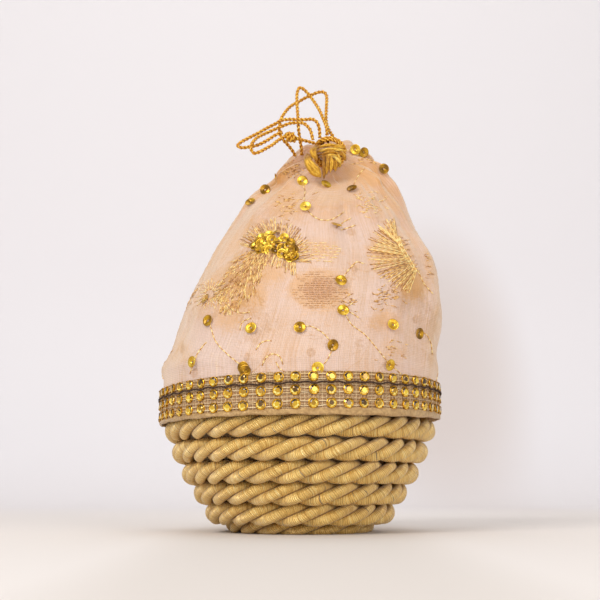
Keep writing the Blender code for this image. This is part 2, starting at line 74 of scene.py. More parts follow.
class Wire:
    # a node's socket that can stand in sums
    def __init__(self, paint, socket):
        self.paint, self.socket = paint, socket

    def maths(self, operation, *others):
        return self.paint.add("ShaderNodeMath", {"operation": operation}, dict(enumerate((self,) + others)))

    def __add__(self, other):
        return self.maths("ADD", other)

    def __sub__(self, other):
        return self.maths("SUBTRACT", other)

    def __rsub__(self, other):
        return self.maths("MULTIPLY", -1.0).maths("ADD", other)

    def __mul__(self, other):
        return self.maths("MULTIPLY", other)

    def __truediv__(self, other):
        return self.maths("DIVIDE", other)

    __radd__ = __add__
    __rmul__ = __mul__

    def sine(self):
        return self.maths("SINE")

    def span(self, low, high):  # 0 below low, 1 above high, smooth between
        return self.paint.add("ShaderNodeMapRange", {"interpolation_type": "SMOOTHSTEP"},
                              {"Value": self, "From Min": low, "From Max": high})


class Paint:
    # one material with its nodes
    def __init__(self, name, **constants):
        self.material = bpy.data.materials.new(name)
        self.material.use_nodes = True
        self.tree = self.material.node_tree
        self.shader = self.tree.nodes["Principled BSDF"]
        self.set(**constants)

    def add(self, kind, settings=None, inputs=None, output=0):
        node = self.tree.nodes.new(kind)
        for key, value in (settings or {}).items():
            if key == "stops":
                self.setStops(node.color_ramp, value)
            else:
                setattr(node, key, value)
        for key, value in (inputs or {}).items():
            self.feed(self.find(node.inputs, key), value)
        return Wire(self, self.find(node.outputs, output))

    def find(self, sockets, key):
        if isinstance(key, int):
            return sockets[key]
        return next(s for s in sockets if key in (s.identifier, s.name))

    def setStops(self, ramp, stops):
        while len(ramp.elements) < len(stops):
            ramp.elements.new(0.5)
        for element, (position, colour) in zip(ramp.elements, stops):
            element.position, element.color = position, screen(colour)

    def feed(self, socket, value):
        if isinstance(value, Wire):
            self.tree.links.new(value.socket, socket)
        else:
            socket.default_value = value

    def set(self, **inputs):  # sockets of the surface shader, with _ for a space
        for key, value in inputs.items():
            self.feed(self.shader.inputs[key.replace("_", " ")], value)

    def noise(self, scale, detail=2.0, rough=0.5, over=None):
        return self.add("ShaderNodeTexNoise", None, {"Vector": over or self.place(), "Scale": scale,
                                                     "Detail": detail, "Roughness": rough})

    def grain(self, stretch, detail=2.0, rough=0.5):  # noise along the layout
        return self.noise(1.0, detail, rough, self.scaled(self.layout(), stretch))

    def scaled(self, vector, by):
        return self.add("ShaderNodeVectorMath", {"operation": "MULTIPLY"}, {0: vector, 1: by})

    def ramp(self, value, *stops):
        return self.add("ShaderNodeValToRGB", {"stops": stops}, {0: value})

    def mix(self, share, low, high):  # of sockets or screen colours
        low, high = (screen(colour) if isinstance(colour, tuple) else colour for colour in (low, high))
        return self.add("ShaderNodeMix", {"data_type": "RGBA"},
                        {"Factor_Float": share, "A_Color": low, "B_Color": high}, "Result_Color")

    def bump(self, height, strength, distance):  # distance in millimetres
        self.set(Normal=self.add("ShaderNodeBump", None,
                                 {"Height": height, "Strength": strength, "Distance": distance * mm}))

    def layout(self):
        return self.add("ShaderNodeUVMap", {"uv_map": "layout"})

    def place(self):  # millimetres
        return self.scaled(self.add("ShaderNodeTexCoord", None, None, "Object"), (1000.0, 1000.0, 1000.0))

    def axes(self, vector):
        first = self.add("ShaderNodeSeparateXYZ", None, {0: vector})
        return [Wire(self, socket) for socket in first.socket.node.outputs]

    def tone(self):
        return self.add("ShaderNodeAttribute", {"attribute_name": "tone"}, None, "Fac")


def screen(colour):
    # a screen colour, 0 to 255, as the linear value that a socket takes
    return [v / 3294.6 if v <= 10.3 else ((v / 255 + 0.055) / 1.055) ** 2.4 for v in colour] + [1.0]


# Mesh tools

finely = 40  # places read between two points of a route
offAxis = (0.3, 0.4, 0.87)  # a direction that no path here starts along


def clamp(value):
    return min(1.0, max(0.0, value))


def wander(far):
    return dice.uniform(-far, far)


def makeMesh(name, points, faces, paint, layout=None, tones=None, sharp=None):
    # smooth faces, or with sharp edges from an angle in degrees, or flat faces for 0
    mesh = bpy.data.meshes.new(name)
    mesh.from_pydata([tuple(p) for p in np.asarray(points) * mm], [], faces)
    if layout is not None:
        layer = mesh.uv_layers.new(name="layout")
        layer.data.foreach_set("uv", np.asarray(layout, dtype=np.float32).ravel())
    if tones is not None:
        attribute = mesh.attributes.new("tone", "FLOAT", "FACE")
        attribute.data.foreach_set("value", np.asarray(tones, dtype=np.float32))
    mesh.polygons.foreach_set("use_smooth", [sharp != 0] * len(mesh.polygons))
    if sharp:
        mesh.set_sharp_from_angle(angle=math.radians(sharp))
    mesh.materials.append(paint.material)
    mesh.update()
    piece = bpy.data.objects.new(name, mesh)
    bpy.context.collection.objects.link(piece)
    return piece


def settle(piece, slotName, *nodes):
    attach(piece, "root")
    if nodes:
        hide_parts(*nodes)


class Heap:
    # many small shapes gathered for one mesh
    def __init__(self):
        self.points, self.faces, self.tones, self.layout = [], [], [], []

    def add(self, points, faces, tones=0.5, layout=()):
        start = len(self.points)
        self.points.extend(points)
        self.faces.extend(tuple(start + i for i in face) for face in faces)
        self.tones.extend([tones] * len(faces) if np.isscalar(tones) else tones)
        self.layout.extend(layout)

    def make(self, name, paint, sharp=None):
        return makeMesh(name, self.points, self.faces, paint, self.layout or None, self.tones, sharp)


def unit(v):
    return v / np.maximum(np.linalg.norm(v, axis=-1, keepdims=True), 1e-9)


def lengthsAlong(path):
    return np.concatenate([[0.0], np.cumsum(np.linalg.norm(np.diff(path, axis=0), axis=1))])


def smoothRead(values, where):
    # smooth curve through rows of values, read at places along the rows
    values, where = np.asarray(values, dtype=float), np.asarray(where, dtype=float)
    index = np.clip(where.astype(int), 0, len(values) - 2)
    t = (where - index)[..., None]
    a, b = values[np.maximum(index - 1, 0)], values[index]
    c, d = values[index + 1], values[np.minimum(index + 2, len(values) - 1)]
    square, cube = 2 * a - 5 * b + 4 * c - d, 3 * b - a - 3 * c + d
    return 0.5 * (2 * b + (c - a) * t + square * t ** 2 + cube * t ** 3)


def smoothPath(points, step):
    # points at equal steps on a smooth curve through the given ones
    fine = smoothRead(points, np.linspace(0, len(points) - 1, finely * len(points)))
    walked = lengthsAlong(fine)
    even = np.linspace(0, walked[-1], max(3, int(walked[-1] / step)))
    return np.array([np.interp(even, walked, fine[:, axis]) for axis in range(3)]).T


def frames(path):
    # two directions across each point of a path, carried along it without twist
    tangents = unit(np.gradient(path, axis=0))
    side = np.cross(tangents[0], offAxis)
    sides = []
    for tangent in tangents:
        side = unit(side - tangent * np.dot(side, tangent))
        sides.append(side)
    return np.array(sides), np.cross(tangents, sides)


def tube(path, radius, sides):
    # points and faces of a closed tube round a path
    first, second = frames(path)
    turn = (2 * np.pi * np.arange(sides) / sides)[:, None]
    radius = np.broadcast_to(radius, len(path))[:, None, None]
    rings = path[:, None] + (first[:, None] * np.cos(turn) + second[:, None] * np.sin(turn)) * radius
    return rings.reshape(-1, 3), tubeFaces(len(path), sides)


def tubeFaces(rings, sides, closed=False):
    faces = []
    for i in range(rings if closed else rings - 1):
        low, high = i * sides, (i + 1) % rings * sides
        faces += [(low + j, low + (j + 1) % sides, high + (j + 1) % sides, high + j) for j in range(sides)]
    if not closed:
        faces += [tuple(range(sides))[::-1], tuple((rings - 1) * sides + j for j in range(sides))]
    return faces


def tubeLayout(lengths, sides):
    layout = []
    for low, high in zip(lengths, lengths[1:]):
        for j in range(sides):
            layout += [(low, j), (low, j + 1), (high, j + 1), (high, j)]
    return layout + [(lengths[0], 0)] * sides + [(lengths[-1], 0)] * sides


# Drawstring: a cord of two plies twisted together

# ply: radius of a ply as a share of the cord's
cordSet = {"radius": 0.82, "plies": 2, "ply": 0.62, "lay": 3.5, "step": 0.3, "sides": 8, "routeEvery": 4}
loopRight = [(14.1, -17.0, 165.1), (12.2, -15.0, 169.1), (11.3, -13.0, 173.9), (11.5, -11.0, 179.9),
             (11.7, -9.0, 186.2), (10.4, -8.0, 188.6), (7.9, -7.0, 188.9), (4.9, -6.0, 188.0),
             (2.0, -5.5, 186.7), (-0.9, -6.0, 184.7), (-3.8, -7.5, 182.4), (-6.3, -9.5, 178.9),
             (-8.4, -11.5, 174.2), (-8.8, -12.5, 169.3), (-7.6, -12.3, 165.7), (-5.2, -11.2, 163.2),
             (-3.4, -9.9, 161.2), (-1.9, -8.5, 159.0)]
loopLeft = [(11.5, -18.3, 165.1), (11.3, -18.3, 168.6), (10.1, -16.5, 172.9), (8.6, -14.5, 177.4),
            (6.7, -12.5, 181.6), (4.4, -11.0, 185.6), (2.1, -10.5, 188.5), (0.1, -11.0, 189.4),
            (-1.0, -12.0, 187.3), (-1.3, -13.0, 182.9), (-0.8, -15.6, 173.3), (-0.6, -15.4, 168.7),
            (-0.1, -14.2, 165.2), (0.5, -12.7, 161.6), (0.7, -10.9, 158.7)]
loopLong = [(8.4, -17.6, 164.1), (8.2, -19.5, 167.3), (7.2, -20.5, 170.0), (5.2, -20.0, 171.6),
            (2.0, -19.0, 171.8), (-1.3, -18.5, 172.0), (-4.4, -18.0, 172.3), (-7.6, -17.0, 172.3),
            (-10.8, -16.5, 170.7), (-14.3, -16.5, 168.8), (-17.8, -17.0, 166.5), (-21.3, -17.5, 164.4),
            (-24.8, -18.5, 162.0), (-26.2, -20.0, 159.9), (-24.6, -21.2, 158.6), (-21.4, -22.0, 158.6),
            (-17.6, -22.2, 159.4), (-13.6, -22.0, 161.6), (-10.3, -21.6, 164.0), (-7.4, -21.4, 165.3)]
knotCentre = (-4.0, -21.5, 163.0)
loopReturn = [(6.1, -17.2, 161.9), (3.0, -18.8, 162.2), (0.0, -20.5, 162.4), (-1.3, -21.1, 162.8),
              knotCentre, (-6.8, -21.9, 162.8), (-9.2, -23.2, 161.0), (-11.4, -25.0, 158.5),
              (-13.8, -26.3, 156.6), (-16.6, -27.0, 154.8), (-19.1, -27.0, 154.2), (-20.3, -26.6, 156.4),
              (-19.8, -25.2, 159.2), (-17.8, -22.4, 162.6), (-14.2, -20.0, 165.4), (-10.6, -19.5, 167.3),
              (-7.5, -20.0, 168.5), (-4.4, -20.6, 169.5), (-1.2, -21.2, 169.6), (1.3, -22.0, 169.1),
              (3.2, -22.6, 167.5), (4.6, -23.2, 165.0), (5.4, -23.4, 161.2)]


def giltPaint():
    paint = Paint("giltCord", Metallic=0.28, Specular_IOR_Level=0.6)
    along, around, _ = paint.axes(paint.layout())
    # painted shade: the side of each ply that faces into the cord, where the plies press together, is
    # darkened towards (188, 118, 8)
    outer = (around * (2 * math.pi / cordSet["sides"])).maths("COSINE").span(-0.35, 0.95)
    strands = (along * 9.0 + around * 1.6 + paint.noise(0.9) * 5.0).sine()
    blotch = paint.noise(0.55, 3.0)
    colour = paint.ramp(blotch, (0.3, (204, 136, 12)), (0.5, (224, 160, 26)), (0.68, (250, 206, 74)))
    flecked = paint.mix(strands.span(-0.2, 1.0) * 0.45, colour, (255, 216, 96))
    paint.set(Base_Color=paint.mix(outer, (188, 118, 8), flecked),
              Roughness=0.24 + strands.span(-1.0, 1.0) * 0.2)
    paint.bump(strands, 0.5, 0.12)
    return paint


def twistedCord(heap, path, s, swell=1.0):
    first, second = frames(path)
    walked = lengthsAlong(path)
    plyRadius = s["radius"] * s["ply"] * swell
    offset = s["radius"] * swell - plyRadius
    circle = (2 * np.pi * np.arange(s["sides"]) / s["sides"])[:, None]
    for ply in range(s["plies"]):
        turn = (2 * np.pi * (walked / s["lay"] + ply / s["plies"]))[:, None]
        outward = first * np.cos(turn) + second * np.sin(turn)
        onward = second * np.cos(turn) - first * np.sin(turn)
        rings = (path + outward * offset)[:, None] + plyRadius * (
            outward[:, None] * np.cos(circle) + onward[:, None] * np.sin(circle))
        faces, layout = tubeFaces(len(path), s["sides"]), tubeLayout(walked, s["sides"])
        heap.add(rings.reshape(-1, 3), faces, layout=layout)


def makeLoop(name, route):
    path = smoothPath(route, cordSet["step"])
    heap = Heap()
    twistedCord(heap, path, cordSet)
    piece = heap.make(name, gilt)
    settle(piece, "gilt_cord", "draw_" + name)


# over: a strand that crosses the turns, as places along the knot's axis, aside and behind
knotSet = {"ring": 1.55, "turns": 2.6, "pitch": 1.35, "points": 90, "uneven": 0.12, "waves": 3.1,
           "phase": 0.7, "over": ((-2.6, 0.6, 0.2), (-1.6, 1.9, -0.9), (0.1, 2.2, -1.2), (1.7, 1.6, -1.4),
                                  (2.4, 0.2, -1.0))}


def makeKnot(s):
    # the long loop's end tied round the returning loop in a few close turns
    at = loopReturn.index(knotCentre)
    axis = unit(np.subtract(loopReturn[at + 1], loopReturn[at - 1]))
    side = unit(np.cross(axis, (0.0, 0.3, 1.0)))
    other = np.cross(axis, side)
    t = np.linspace(0, 1, s["points"])
    angle = (2 * np.pi * s["turns"] * t)[:, None]
    wobble = 1 + s["uneven"] * np.sin(s["waves"] * angle + s["phase"])
    path = (knotCentre + axis * (s["pitch"] * s["turns"] * (t - 0.5))[:, None]
            + (side * np.cos(angle) + other * np.sin(angle)) * s["ring"] * wobble)
    over = [knotCentre + axis * a + side * b + other * c for a, b, c in s["over"]]
    heap = Heap()
    for route in (path, smoothPath(over, cordSet["step"])):
        twistedCord(heap, route, cordSet)
    knot = heap.make("cord_tie", gilt)
    settle(knot, "gilt_cord", "cord_knot")
    return knot


gilt = giltPaint()
knotPiece = makeKnot(knotSet)
makeLoop("loop_right", loopRight)
makeLoop("loop_left", loopLeft)
makeLoop("loop_long", loopLong)
makeLoop("loop_return", loopReturn)
print("drawstring made")


# Rope base: three satin-wrapped strands laid together and coiled

ropeSet = {"radius": 4.55, "gap": 0.3, "floorSpread": 0.3, "footRadius": 26.2, "footPress": 1.1,
           "floorRows": 3, "leans": (28.0, 57.0, 58.5, 64.0, 69.5, 90.5), "levelArc": 160.0, "tuck": 40.0,
           "ease": 0.3, "lay": 31.7, "strand": 2.34, "offset": 2.36, "step": 1.25, "sides": 10,
           "read": 40000, "floor": 0.02, "swell": (0.02, 7.3, 1.3, 19.0), "seam": 0.001, "crease": 48}


def coilRows(s):
    floorPitch = 2 * s["radius"] + s["gap"] + s["floorSpread"]
    rows = [(s["footRadius"] - floorPitch * i, s["radius"] - s["footPress"])
            for i in reversed(range(s["floorRows"]))]
    for lean in np.radians(s["leans"]):
        rows.append(tuple(rows[-1] + (2 * s["radius"] + s["gap"]) * np.array((np.cos(lean), np.sin(lean)))))
    return np.array(rows)


coil = coilRows(ropeSet)


def ropeCentre(turns, s):
    # level across the front, then one row further while it passes the back
    level = s["levelArc"] / 360
    whole = np.floor(turns).astype(int)
    share = np.maximum(0, (turns - whole - level) / (1 - level))
    climb = (share - s["ease"] * np.sin(2 * np.pi * share) / (2 * np.pi))[:, None]
    rows = np.vstack([[coil[0] - (coil[1] - coil[0])], coil, coil[-1:]])
    place = rows[whole + 1] * (1 - climb) + rows[np.minimum(whole + 2, len(coil))] * climb
    angle = 2 * np.pi * turns - math.radians(90 + s["levelArc"] / 2)
    return np.stack([place[:, 0] * np.cos(angle), place[:, 0] * np.sin(angle), place[:, 1]], axis=1)


def satinPaint():
    paint = Paint("satinRope", Metallic=0.3, Specular_IOR_Level=0.6, Sheen_Weight=0.3, Sheen_Roughness=0.35)
    along, strand, _ = paint.axes(paint.layout())
    across = strand.maths("FRACT")
    # painted shade: the grooves between the strands are darkened towards (128, 74, 20); the same groove mask
    # also lowers the bump there
    grooveShadeAndDip = ((across - 0.5).maths("ABSOLUTE")).span(0.42, 0.5)
    drift = paint.grain((0.12, 0.9, 1.0), 3.0)
    lines = paint.grain((2.6, 0.25, 1.0), 3.0, 0.7)
    wraps = (along * 12.5 + drift * 9.0).sine()
    colour = paint.ramp(lines, (0.25, (160, 112, 44)), (0.42, (224, 178, 92)), (0.58, (246, 210, 128)),
                        (0.75, (255, 242, 186)))
    patchy = paint.mix(paint.noise(0.11, 2.0).span(0.4, 0.65) * 0.4, colour, (212, 170, 92))
    stray = paint.grain((1.5, 0.5, 1.0), 1.0).span(0.71, 0.73)
    marked = paint.mix(stray * 0.75, patchy, (92, 76, 72))
    paint.set(Base_Color=paint.mix(grooveShadeAndDip * 0.8, marked, (128, 74, 20)),
              Roughness=0.26 + wraps.span(-1.0, 1.0) * 0.12)
    paint.bump(wraps * 0.8 + lines * 1.8 - grooveShadeAndDip, 0.8, 0.24)
    return paint


def makeRope(s):
    last = len(coil) - 1 + s["levelArc"] / 360
    turns = np.linspace(-s["tuck"] / 360, last, s["read"])
    fine = ropeCentre(turns, s)
    walked = lengthsAlong(fine)
    even = np.linspace(0, walked[-1], int(walked[-1] / s["step"]))
    turns = np.interp(even, walked, turns)
    centre = ropeCentre(turns, s)
    along = unit(np.gradient(centre, axis=0))
    outward = unit(centre * (1, 1, 0))
    outward = unit(outward - along * np.sum(outward * along, axis=1, keepdims=True))
    upward = np.cross(outward, along)
    # section of the three strands, from groove to groove
    edge = np.linspace(-np.pi / 3, np.pi / 3, s["sides"] + 1)[:-1]
    local = np.tile(edge, 3)
    reach = s["offset"] * np.cos(local) + np.sqrt(s["strand"] ** 2 - (s["offset"] * np.sin(local)) ** 2)
    middle = np.repeat(np.pi / 3 + 2 * np.pi / 3 * np.arange(3), s["sides"])
    twist = 2 * np.pi * even / s["lay"]
    angle = twist[:, None] + middle + local
    depth, wave, drift, slow = s["swell"]
    swell = 1 + depth * np.sin(even / wave + drift * np.sin(even / slow))
    radius = (reach * swell[:, None])[..., None]
    points = centre[:, None] + (outward[:, None] * np.cos(angle)[..., None]
                                + upward[:, None] * np.sin(angle)[..., None]) * radius
    points[..., 2] = np.maximum(points[..., 2], s["floor"])
    count = 3 * s["sides"]
    slope = math.atan(2 * np.pi * s["offset"] / s["lay"])
    wrap = reach * np.sin(local) * math.sin(slope)
    layout = []
    for low, high in zip(even * math.cos(slope), even[1:] * math.cos(slope)):
        for j in range(count):
            strand, spot = divmod(j, s["sides"])
            a, b, here = j / s["sides"], (j + 1) / s["sides"], wrap[j]
            if spot < s["sides"] - 1:
                onward = wrap[j + 1]
            else:
                onward, b = -wrap[strand * s["sides"]], b - s["seam"]
            layout += [(low + here, a), (low + onward, b), (high + onward, b), (high + here, a)]
    layout += [(0.0, 0.5)] * (2 * count)
    piece = makeMesh("rope_wraps", points.reshape(-1, 3), tubeFaces(len(even), count), satinPaint(), layout,
                     sharp=s["crease"])
    settle(piece, "satin_rope", "rope_coil")


makeRope(ropeSet)
print("rope base made")


# Inner cup keeps its shape and gets a pressed card surface

def cardPaint():
    paint = Paint("cupCard", Roughness=0.85)
    fibre = paint.noise(1.4, 4.0, 0.7, paint.scaled(paint.place(), (1.0, 1.0, 3.0)))
    paint.set(Base_Color=paint.ramp(fibre, (0.3, (176, 150, 112)), (0.7, (214, 192, 154))))
    paint.bump(fibre, 0.4, 0.2)
    return paint


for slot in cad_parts["inner_cup"].material_slots:
    slot.material = cardPaint().material
print("cup finished")


# Pouch of sheer cloth, gathered to the neck

turnsRound = [0.0, 2.25, 4.1]  # the front's motifs, and the same kind worked again further round, in radians
pouchSet = {
    "bandTop": 59.42, "hemRadius": 57.31,
    # height above the band, centre across and in depth, narrower than the hem at the sides and in depth,
    # tilt in degrees, gather
    "sections": [(-12.3, 0, 0, 0, 0, 0, 0), (1.6, 0, 0, 0, 0, 0, 0), (7.0, 0.1, 0, -0.5, -0.3, 0, 0.004),
                 (17.0, 2.4, 0, 1.6, 1.9, 0, 0.005), (35.0, 6.2, 0, 3.6, 4.7, 2, 0.005),
                 (53.0, 9.2, -0.5, 8.7, 10.3, 5, 0.010), (69.0, 9.3, -1.5, 17.5, 17.8, 10, 0.015),
                 (81.0, 10.6, -3.0, 24.9, 24.3, 18, 0.025), (89.5, 12.6, -5.0, 32.3, 32.3, 29, 0.045),
                 (95.3, 13.6, -7.5, 38.0, 39.8, 44, 0.070), (97.3, 13.2, -11.3, 44.5, 46.5, 66, 0.100),
                 (97.8, 12.5, -14.5, 52.7, 52.7, 90, 0.09), (97.8, 12.5, -19.6, 53.2, 53.2, 90, 0.09),
                 (97.8, 12.5, -20.4, 56.6, 56.6, 90, 0.09)],
    "pleats": 13, "unevenness": 0.35, "around": 420, "perSection": 14, "from": 0.15,
    # folds that run up the cloth: how many round it, how deep they are against the others, drift per section
    "folds": [(5, 0.68, 0.75), (8, 0.6, -0.9), (11, 0.68, 0.6), (17, 0.52, -0.45), (23, 0.38, 0.9),
              (31, 0.26, -0.6), (43, 0.19, 0.3)],
    "foldDepth": [0.0, 0.0, 0.12, 0.22, 0.32, 0.4, 0.55, 0.75, 1.0, 1.0, 0.7, 0.35, 0.2, 0.0],
    "foldTurn": 2.4,
    # small creases: waves round the cloth and their phase, waves up it and their phase
    "creases": [(2 + n % 7, 1.7 * n, 1.1 + 0.37 * (n % 5), 2.1 * n) for n in range(16)],
    "creaseDepth": 0.0875, "creased": (1, 11),
    # places pushed in or out: section, angle in degrees, how far, reach in sections and in degrees
    "dents": [(7.95, 188, -3.4, 0.4, 22), (7.2, 190, 0.9, 0.5, 20), (8.9, 212, 1.6, 0.6, 18),
              (9.2, 268, -2.2, 0.8, 20), (8.9, 330, 1.4, 0.6, 18), (8.4, 2, -1.8, 0.45, 16),
              (5.2, 300, -1.6, 1.0, 16), (4.2, 235, 1.2, 1.0, 18)]}

# golden parts of the cloth, as pixels of the photograph: middle, half width, half height, how golden
clothPatches = [
    (262, 268, 26, 24, 0.8), (245, 292, 24, 24, 0.9), (226, 314, 18, 20, 0.8), (203, 302, 16, 22, 0.6),
    (178, 352, 12, 16, 0.6), (287, 205, 22, 22, 0.7), (262, 232, 24, 16, 0.5), (330, 205, 30, 20, 0.5),
    (316, 252, 28, 12, 0.5), (318, 291, 27, 19, 1.5), (392, 252, 26, 26, 0.8), (412, 286, 18, 16, 0.9),
    (383, 322, 18, 12, 0.6), (432, 262, 8, 26, 0.7), (362, 176, 26, 18, 0.7), (386, 205, 20, 22, 0.5),
    (285, 172, 16, 14, 0.6), (395, 352, 16, 12, 0.4), (268, 356, 14, 8, 0.3), (330, 182, 14, 9, 1.4)]
fullGold, patchEdge = 1.6, 1.5  # the gold that counts as all gold, and how sharply a patch ends


def seenAt(points, turn=0.0):
    # pixels at which points show, from the front or from a turn round the bag, and how far away they are
    tilt = math.radians(cameraSet["pitch"])
    x = points[..., 0] * math.cos(turn) + points[..., 1] * math.sin(turn)
    away = cameraSet["away"] + points[..., 1] * math.cos(turn) - points[..., 0] * math.sin(turn)
    rise = points[..., 2] - cameraSet["height"]
    depth = away * math.cos(tilt) + rise * math.sin(tilt)
    px = cameraSet["frame"] / 2 + focal * x / depth
    py = cameraSet["frame"] / 2 - focal * (rise * math.cos(tilt) - away * math.sin(tilt)) / depth
    return px, py, away


def clothGold(points, s):
    # how golden the cloth is at points of it, the front's patches worked again further round
    total = np.zeros(points.shape[:-1])
    for turn in turnsRound:
        px, py, away = seenAt(points, turn)
        for middle, top, wide, high, gold in s:
            reach = ((px - middle) / wide) ** 2 + ((py - top) / high) ** 2
            total = np.maximum(total, gold * np.exp(-reach ** patchEdge) * (away < cameraSet["away"]))
    return np.clip(total / fullGold, 0, 1)


def pouchCloth(station, around, s):
    # points of the cloth at places along its sections and angles round them
    height, across, depth, side, front, tilt, gather = np.moveaxis(smoothRead(s["sections"], station), -1, 0)
    wave = 1 + gather * np.cos(s["pleats"] * around) * (1 + s["unevenness"] * np.cos(3 * around + 1))
    fold = sum(weight * np.cos(count * (around + s["foldTurn"]) + drift * station)
               for count, weight, drift in s["folds"])
    crease = sum(np.cos(count * around + phase) * np.sin(rise * station * 2 + start)
                 for count, phase, rise, start in s["creases"])
    low, high = s["creased"]
    shown = np.clip(station - low, 0, 1) * np.clip(high - station, 0, 1)
    push = (np.interp(station, np.arange(len(s["foldDepth"])), s["foldDepth"]) * fold
            + crease * s["creaseDepth"] * shown)
    for section, aim, far, tall, broad in s["dents"]:
        away = np.angle(np.exp(1j * (around - np.radians(aim))))
        push = push + far * np.exp(-((station - section) / tall) ** 2 - (away / np.radians(broad)) ** 2)
    wide, deep = (s["hemRadius"] - side) * wave + push, (s["hemRadius"] - front) * wave + push
    tilt = np.radians(tilt)
    x = across + wide * np.cos(around)
    y = depth + deep * np.sin(around) * np.cos(tilt)
    z = s["bandTop"] + height + deep * np.sin(around) * np.sin(tilt)
    return np.stack([x, y, z], axis=-1)


def organzaPaint():
    paint = Paint("peachOrganza", Sheen_Weight=0.5, Sheen_Roughness=0.35, Specular_IOR_Level=0.3)
    across, up, _ = paint.axes(paint.layout())
    warp = (across * 9.0 + paint.grain((0.3, 0.05, 1.0), 2.0) * 5.0).sine()
    weft = (up * 9.0 + paint.grain((0.05, 0.3, 1.0), 2.0) * 5.0).sine()
    streaks = paint.grain((1.1, 0.035, 1.0), 4.0, 0.65)
    clouds = paint.noise(0.035, 3.0)
    low = paint.ramp(clouds * 0.5 + streaks * 0.5, (0.3, (222, 172, 124)), (0.45, (232, 196, 168)),
                     (0.58, (238, 208, 192)), (0.7, (248, 220, 168)))
    high = paint.ramp(clouds * 0.5 + streaks * 0.5, (0.3, (196, 128, 66)), (0.48, (220, 160, 104)),
                      (0.62, (240, 196, 156)), (0.75, (246, 208, 150)))
    height = paint.axes(paint.place())[2]
    edge = paint.add("ShaderNodeLayerWeight", None, {"Blend": 0.5}, "Facing")
    ghosts = (paint.noise(0.28, 4.0, 0.7) * 0.8 + paint.tone()).span(0.38, 0.9)
    body = paint.mix(ghosts * 0.75, paint.mix(height.span(108.0, 154.0) * 0.8, low, high), (230, 170, 92))
    worked = paint.mix(paint.tone().span(0.6, 0.9) * 0.5, body, (190, 120, 48))
    # painted sheen: where the cloth turns edge-on (Layer Weight facing) its colour is lightened towards
    # (255, 220, 180)
    paint.set(Base_Color=paint.mix(edge.span(0.35, 0.9) * 0.8, worked, (255, 220, 180)),
              Roughness=0.5 + streaks * 0.2,
              Alpha=0.5 + warp * 0.05 + weft * 0.04 + streaks * 0.22 + height.span(125.0, 165.0) * 0.15)
    paint.bump(warp + weft + streaks * 3.0, 0.3, 0.12)
    return paint


def makePouch(s):
    stations = np.linspace(s["from"], len(s["sections"]) - 1, s["perSection"] * (len(s["sections"]) - 1))
    around = np.linspace(0, 2 * np.pi, s["around"], endpoint=False)
    station, angle = np.meshgrid(stations, around, indexing="ij")
    points = pouchCloth(station, angle, s)
    count = s["around"]
    faces = tubeFaces(len(stations), count)[:-2]
    up = np.concatenate([[0], np.cumsum(np.linalg.norm(np.diff(points, axis=0), axis=-1).mean(axis=1))])
    layout = []
    for low, high in zip(up, up[1:]):
        for j in range(count):
            a, b = j * 360 / count, (j + 1) * 360 / count  # one unit is about a millimetre at the hem
            layout += [(a, low), (b, low), (b, high), (a, high)]
    tones = clothGold(points, clothPatches).ravel()[[face[0] for face in faces]]
    return makeMesh("sheer_pouch", points.reshape(-1, 3), faces, organzaPaint(), layout, tones)


# hold: how firmly each station of the pouch is held, by the hem, by what fills it and by the neck
drapeSet = {"stations": (0, 1.3, 2.2, 8, 10, 11, 13), "hold": (1.0, 1.0, 0.5, 0.5, 0.75, 1.0, 1.0),
            "frames": 10, "cloth": {
                "quality": 4, "mass": 0.0004, "tension_stiffness": 6.0, "compression_stiffness": 3.0,
                "shear_stiffness": 2.0, "bending_stiffness": 0.01, "air_damping": 4.0, "pin_stiffness": 0.35,
                "shrink_min": -0.024}}


def drape(piece, s):
    # let the cloth settle under its weight
    held = piece.vertex_groups.new(name="held")
    count, rows = pouchSet["around"], len(piece.data.vertices) // pouchSet["around"]
    for row in range(rows):
        share = row / (rows - 1) * (len(pouchSet["sections"]) - 1)
        weight = float(np.interp(share, s["stations"], s["hold"]))
        held.add(list(range(row * count, (row + 1) * count)), weight, "REPLACE")
    cloth = piece.modifiers.new("drape", "CLOTH")
    cloth.collision_settings.use_collision = False
    for key, value in s["cloth"].items():
        setattr(cloth.settings, key, value)
    cloth.settings.vertex_group_mass = "held"
    cloth.point_cache.frame_end = s["frames"]
    scene = bpy.context.scene
    for step in range(1, s["frames"] + 1):
        scene.frame_set(step)
    settled = bpy.data.meshes.new_from_object(piece.evaluated_get(bpy.context.evaluated_depsgraph_get()))
    piece.modifiers.clear()
    piece.data = settled
    scene.frame_set(1)


pouch = makePouch(pouchSet)
drape(pouch, drapeSet)
settle(pouch, "peach_organza", "pouch")
clothTree = BVHTree.FromObject(pouch, bpy.context.evaluated_depsgraph_get())
print("pouch made")


# Places on the cloth, found by the photograph's pixels

def sight(px, py):
    # the camera's place and the direction of its line of sight through a pixel
    pitch = math.radians(cameraSet["pitch"])
    half = cameraSet["frame"] / 2
    right, rise = (px - half) / focal, (half - py) / focal
    ray = Vector((right, math.cos(pitch) - rise * math.sin(pitch), math.sin(pitch) + rise * math.cos(pitch)))
    return Vector((0, -cameraSet["away"], cameraSet["height"])) * mm, ray


def atDepth(px, py, depth):
    # point that the camera sees at a pixel, at a distance behind the front-facing plane through the origin
    eye, ray = sight(px, py)
    return np.array(eye + ray * ((depth * mm - eye.y) / ray.y)) / mm


def turnedRound(v, turn):
    # a vector carried round the upright axis
    cosine, sine = math.cos(turn), math.sin(turn)
    return Vector((v[0] * cosine - v[1] * sine, v[0] * sine + v[1] * cosine, v[2]))


def onCloth(px, py, turn, lift):
    # where the line of sight through a pixel meets the cloth, seen from the front or from a turn round it
    eye, ray = (turnedRound(v, turn) for v in sight(px, py))
    hit, normal, _, _ = clothTree.ray_cast(eye, ray.normalized())
    if hit is None:
        return None
    if normal.dot(ray) > 0:
        normal = -normal
    return np.array(hit) / mm + np.array(normal) * lift, np.array(normal)
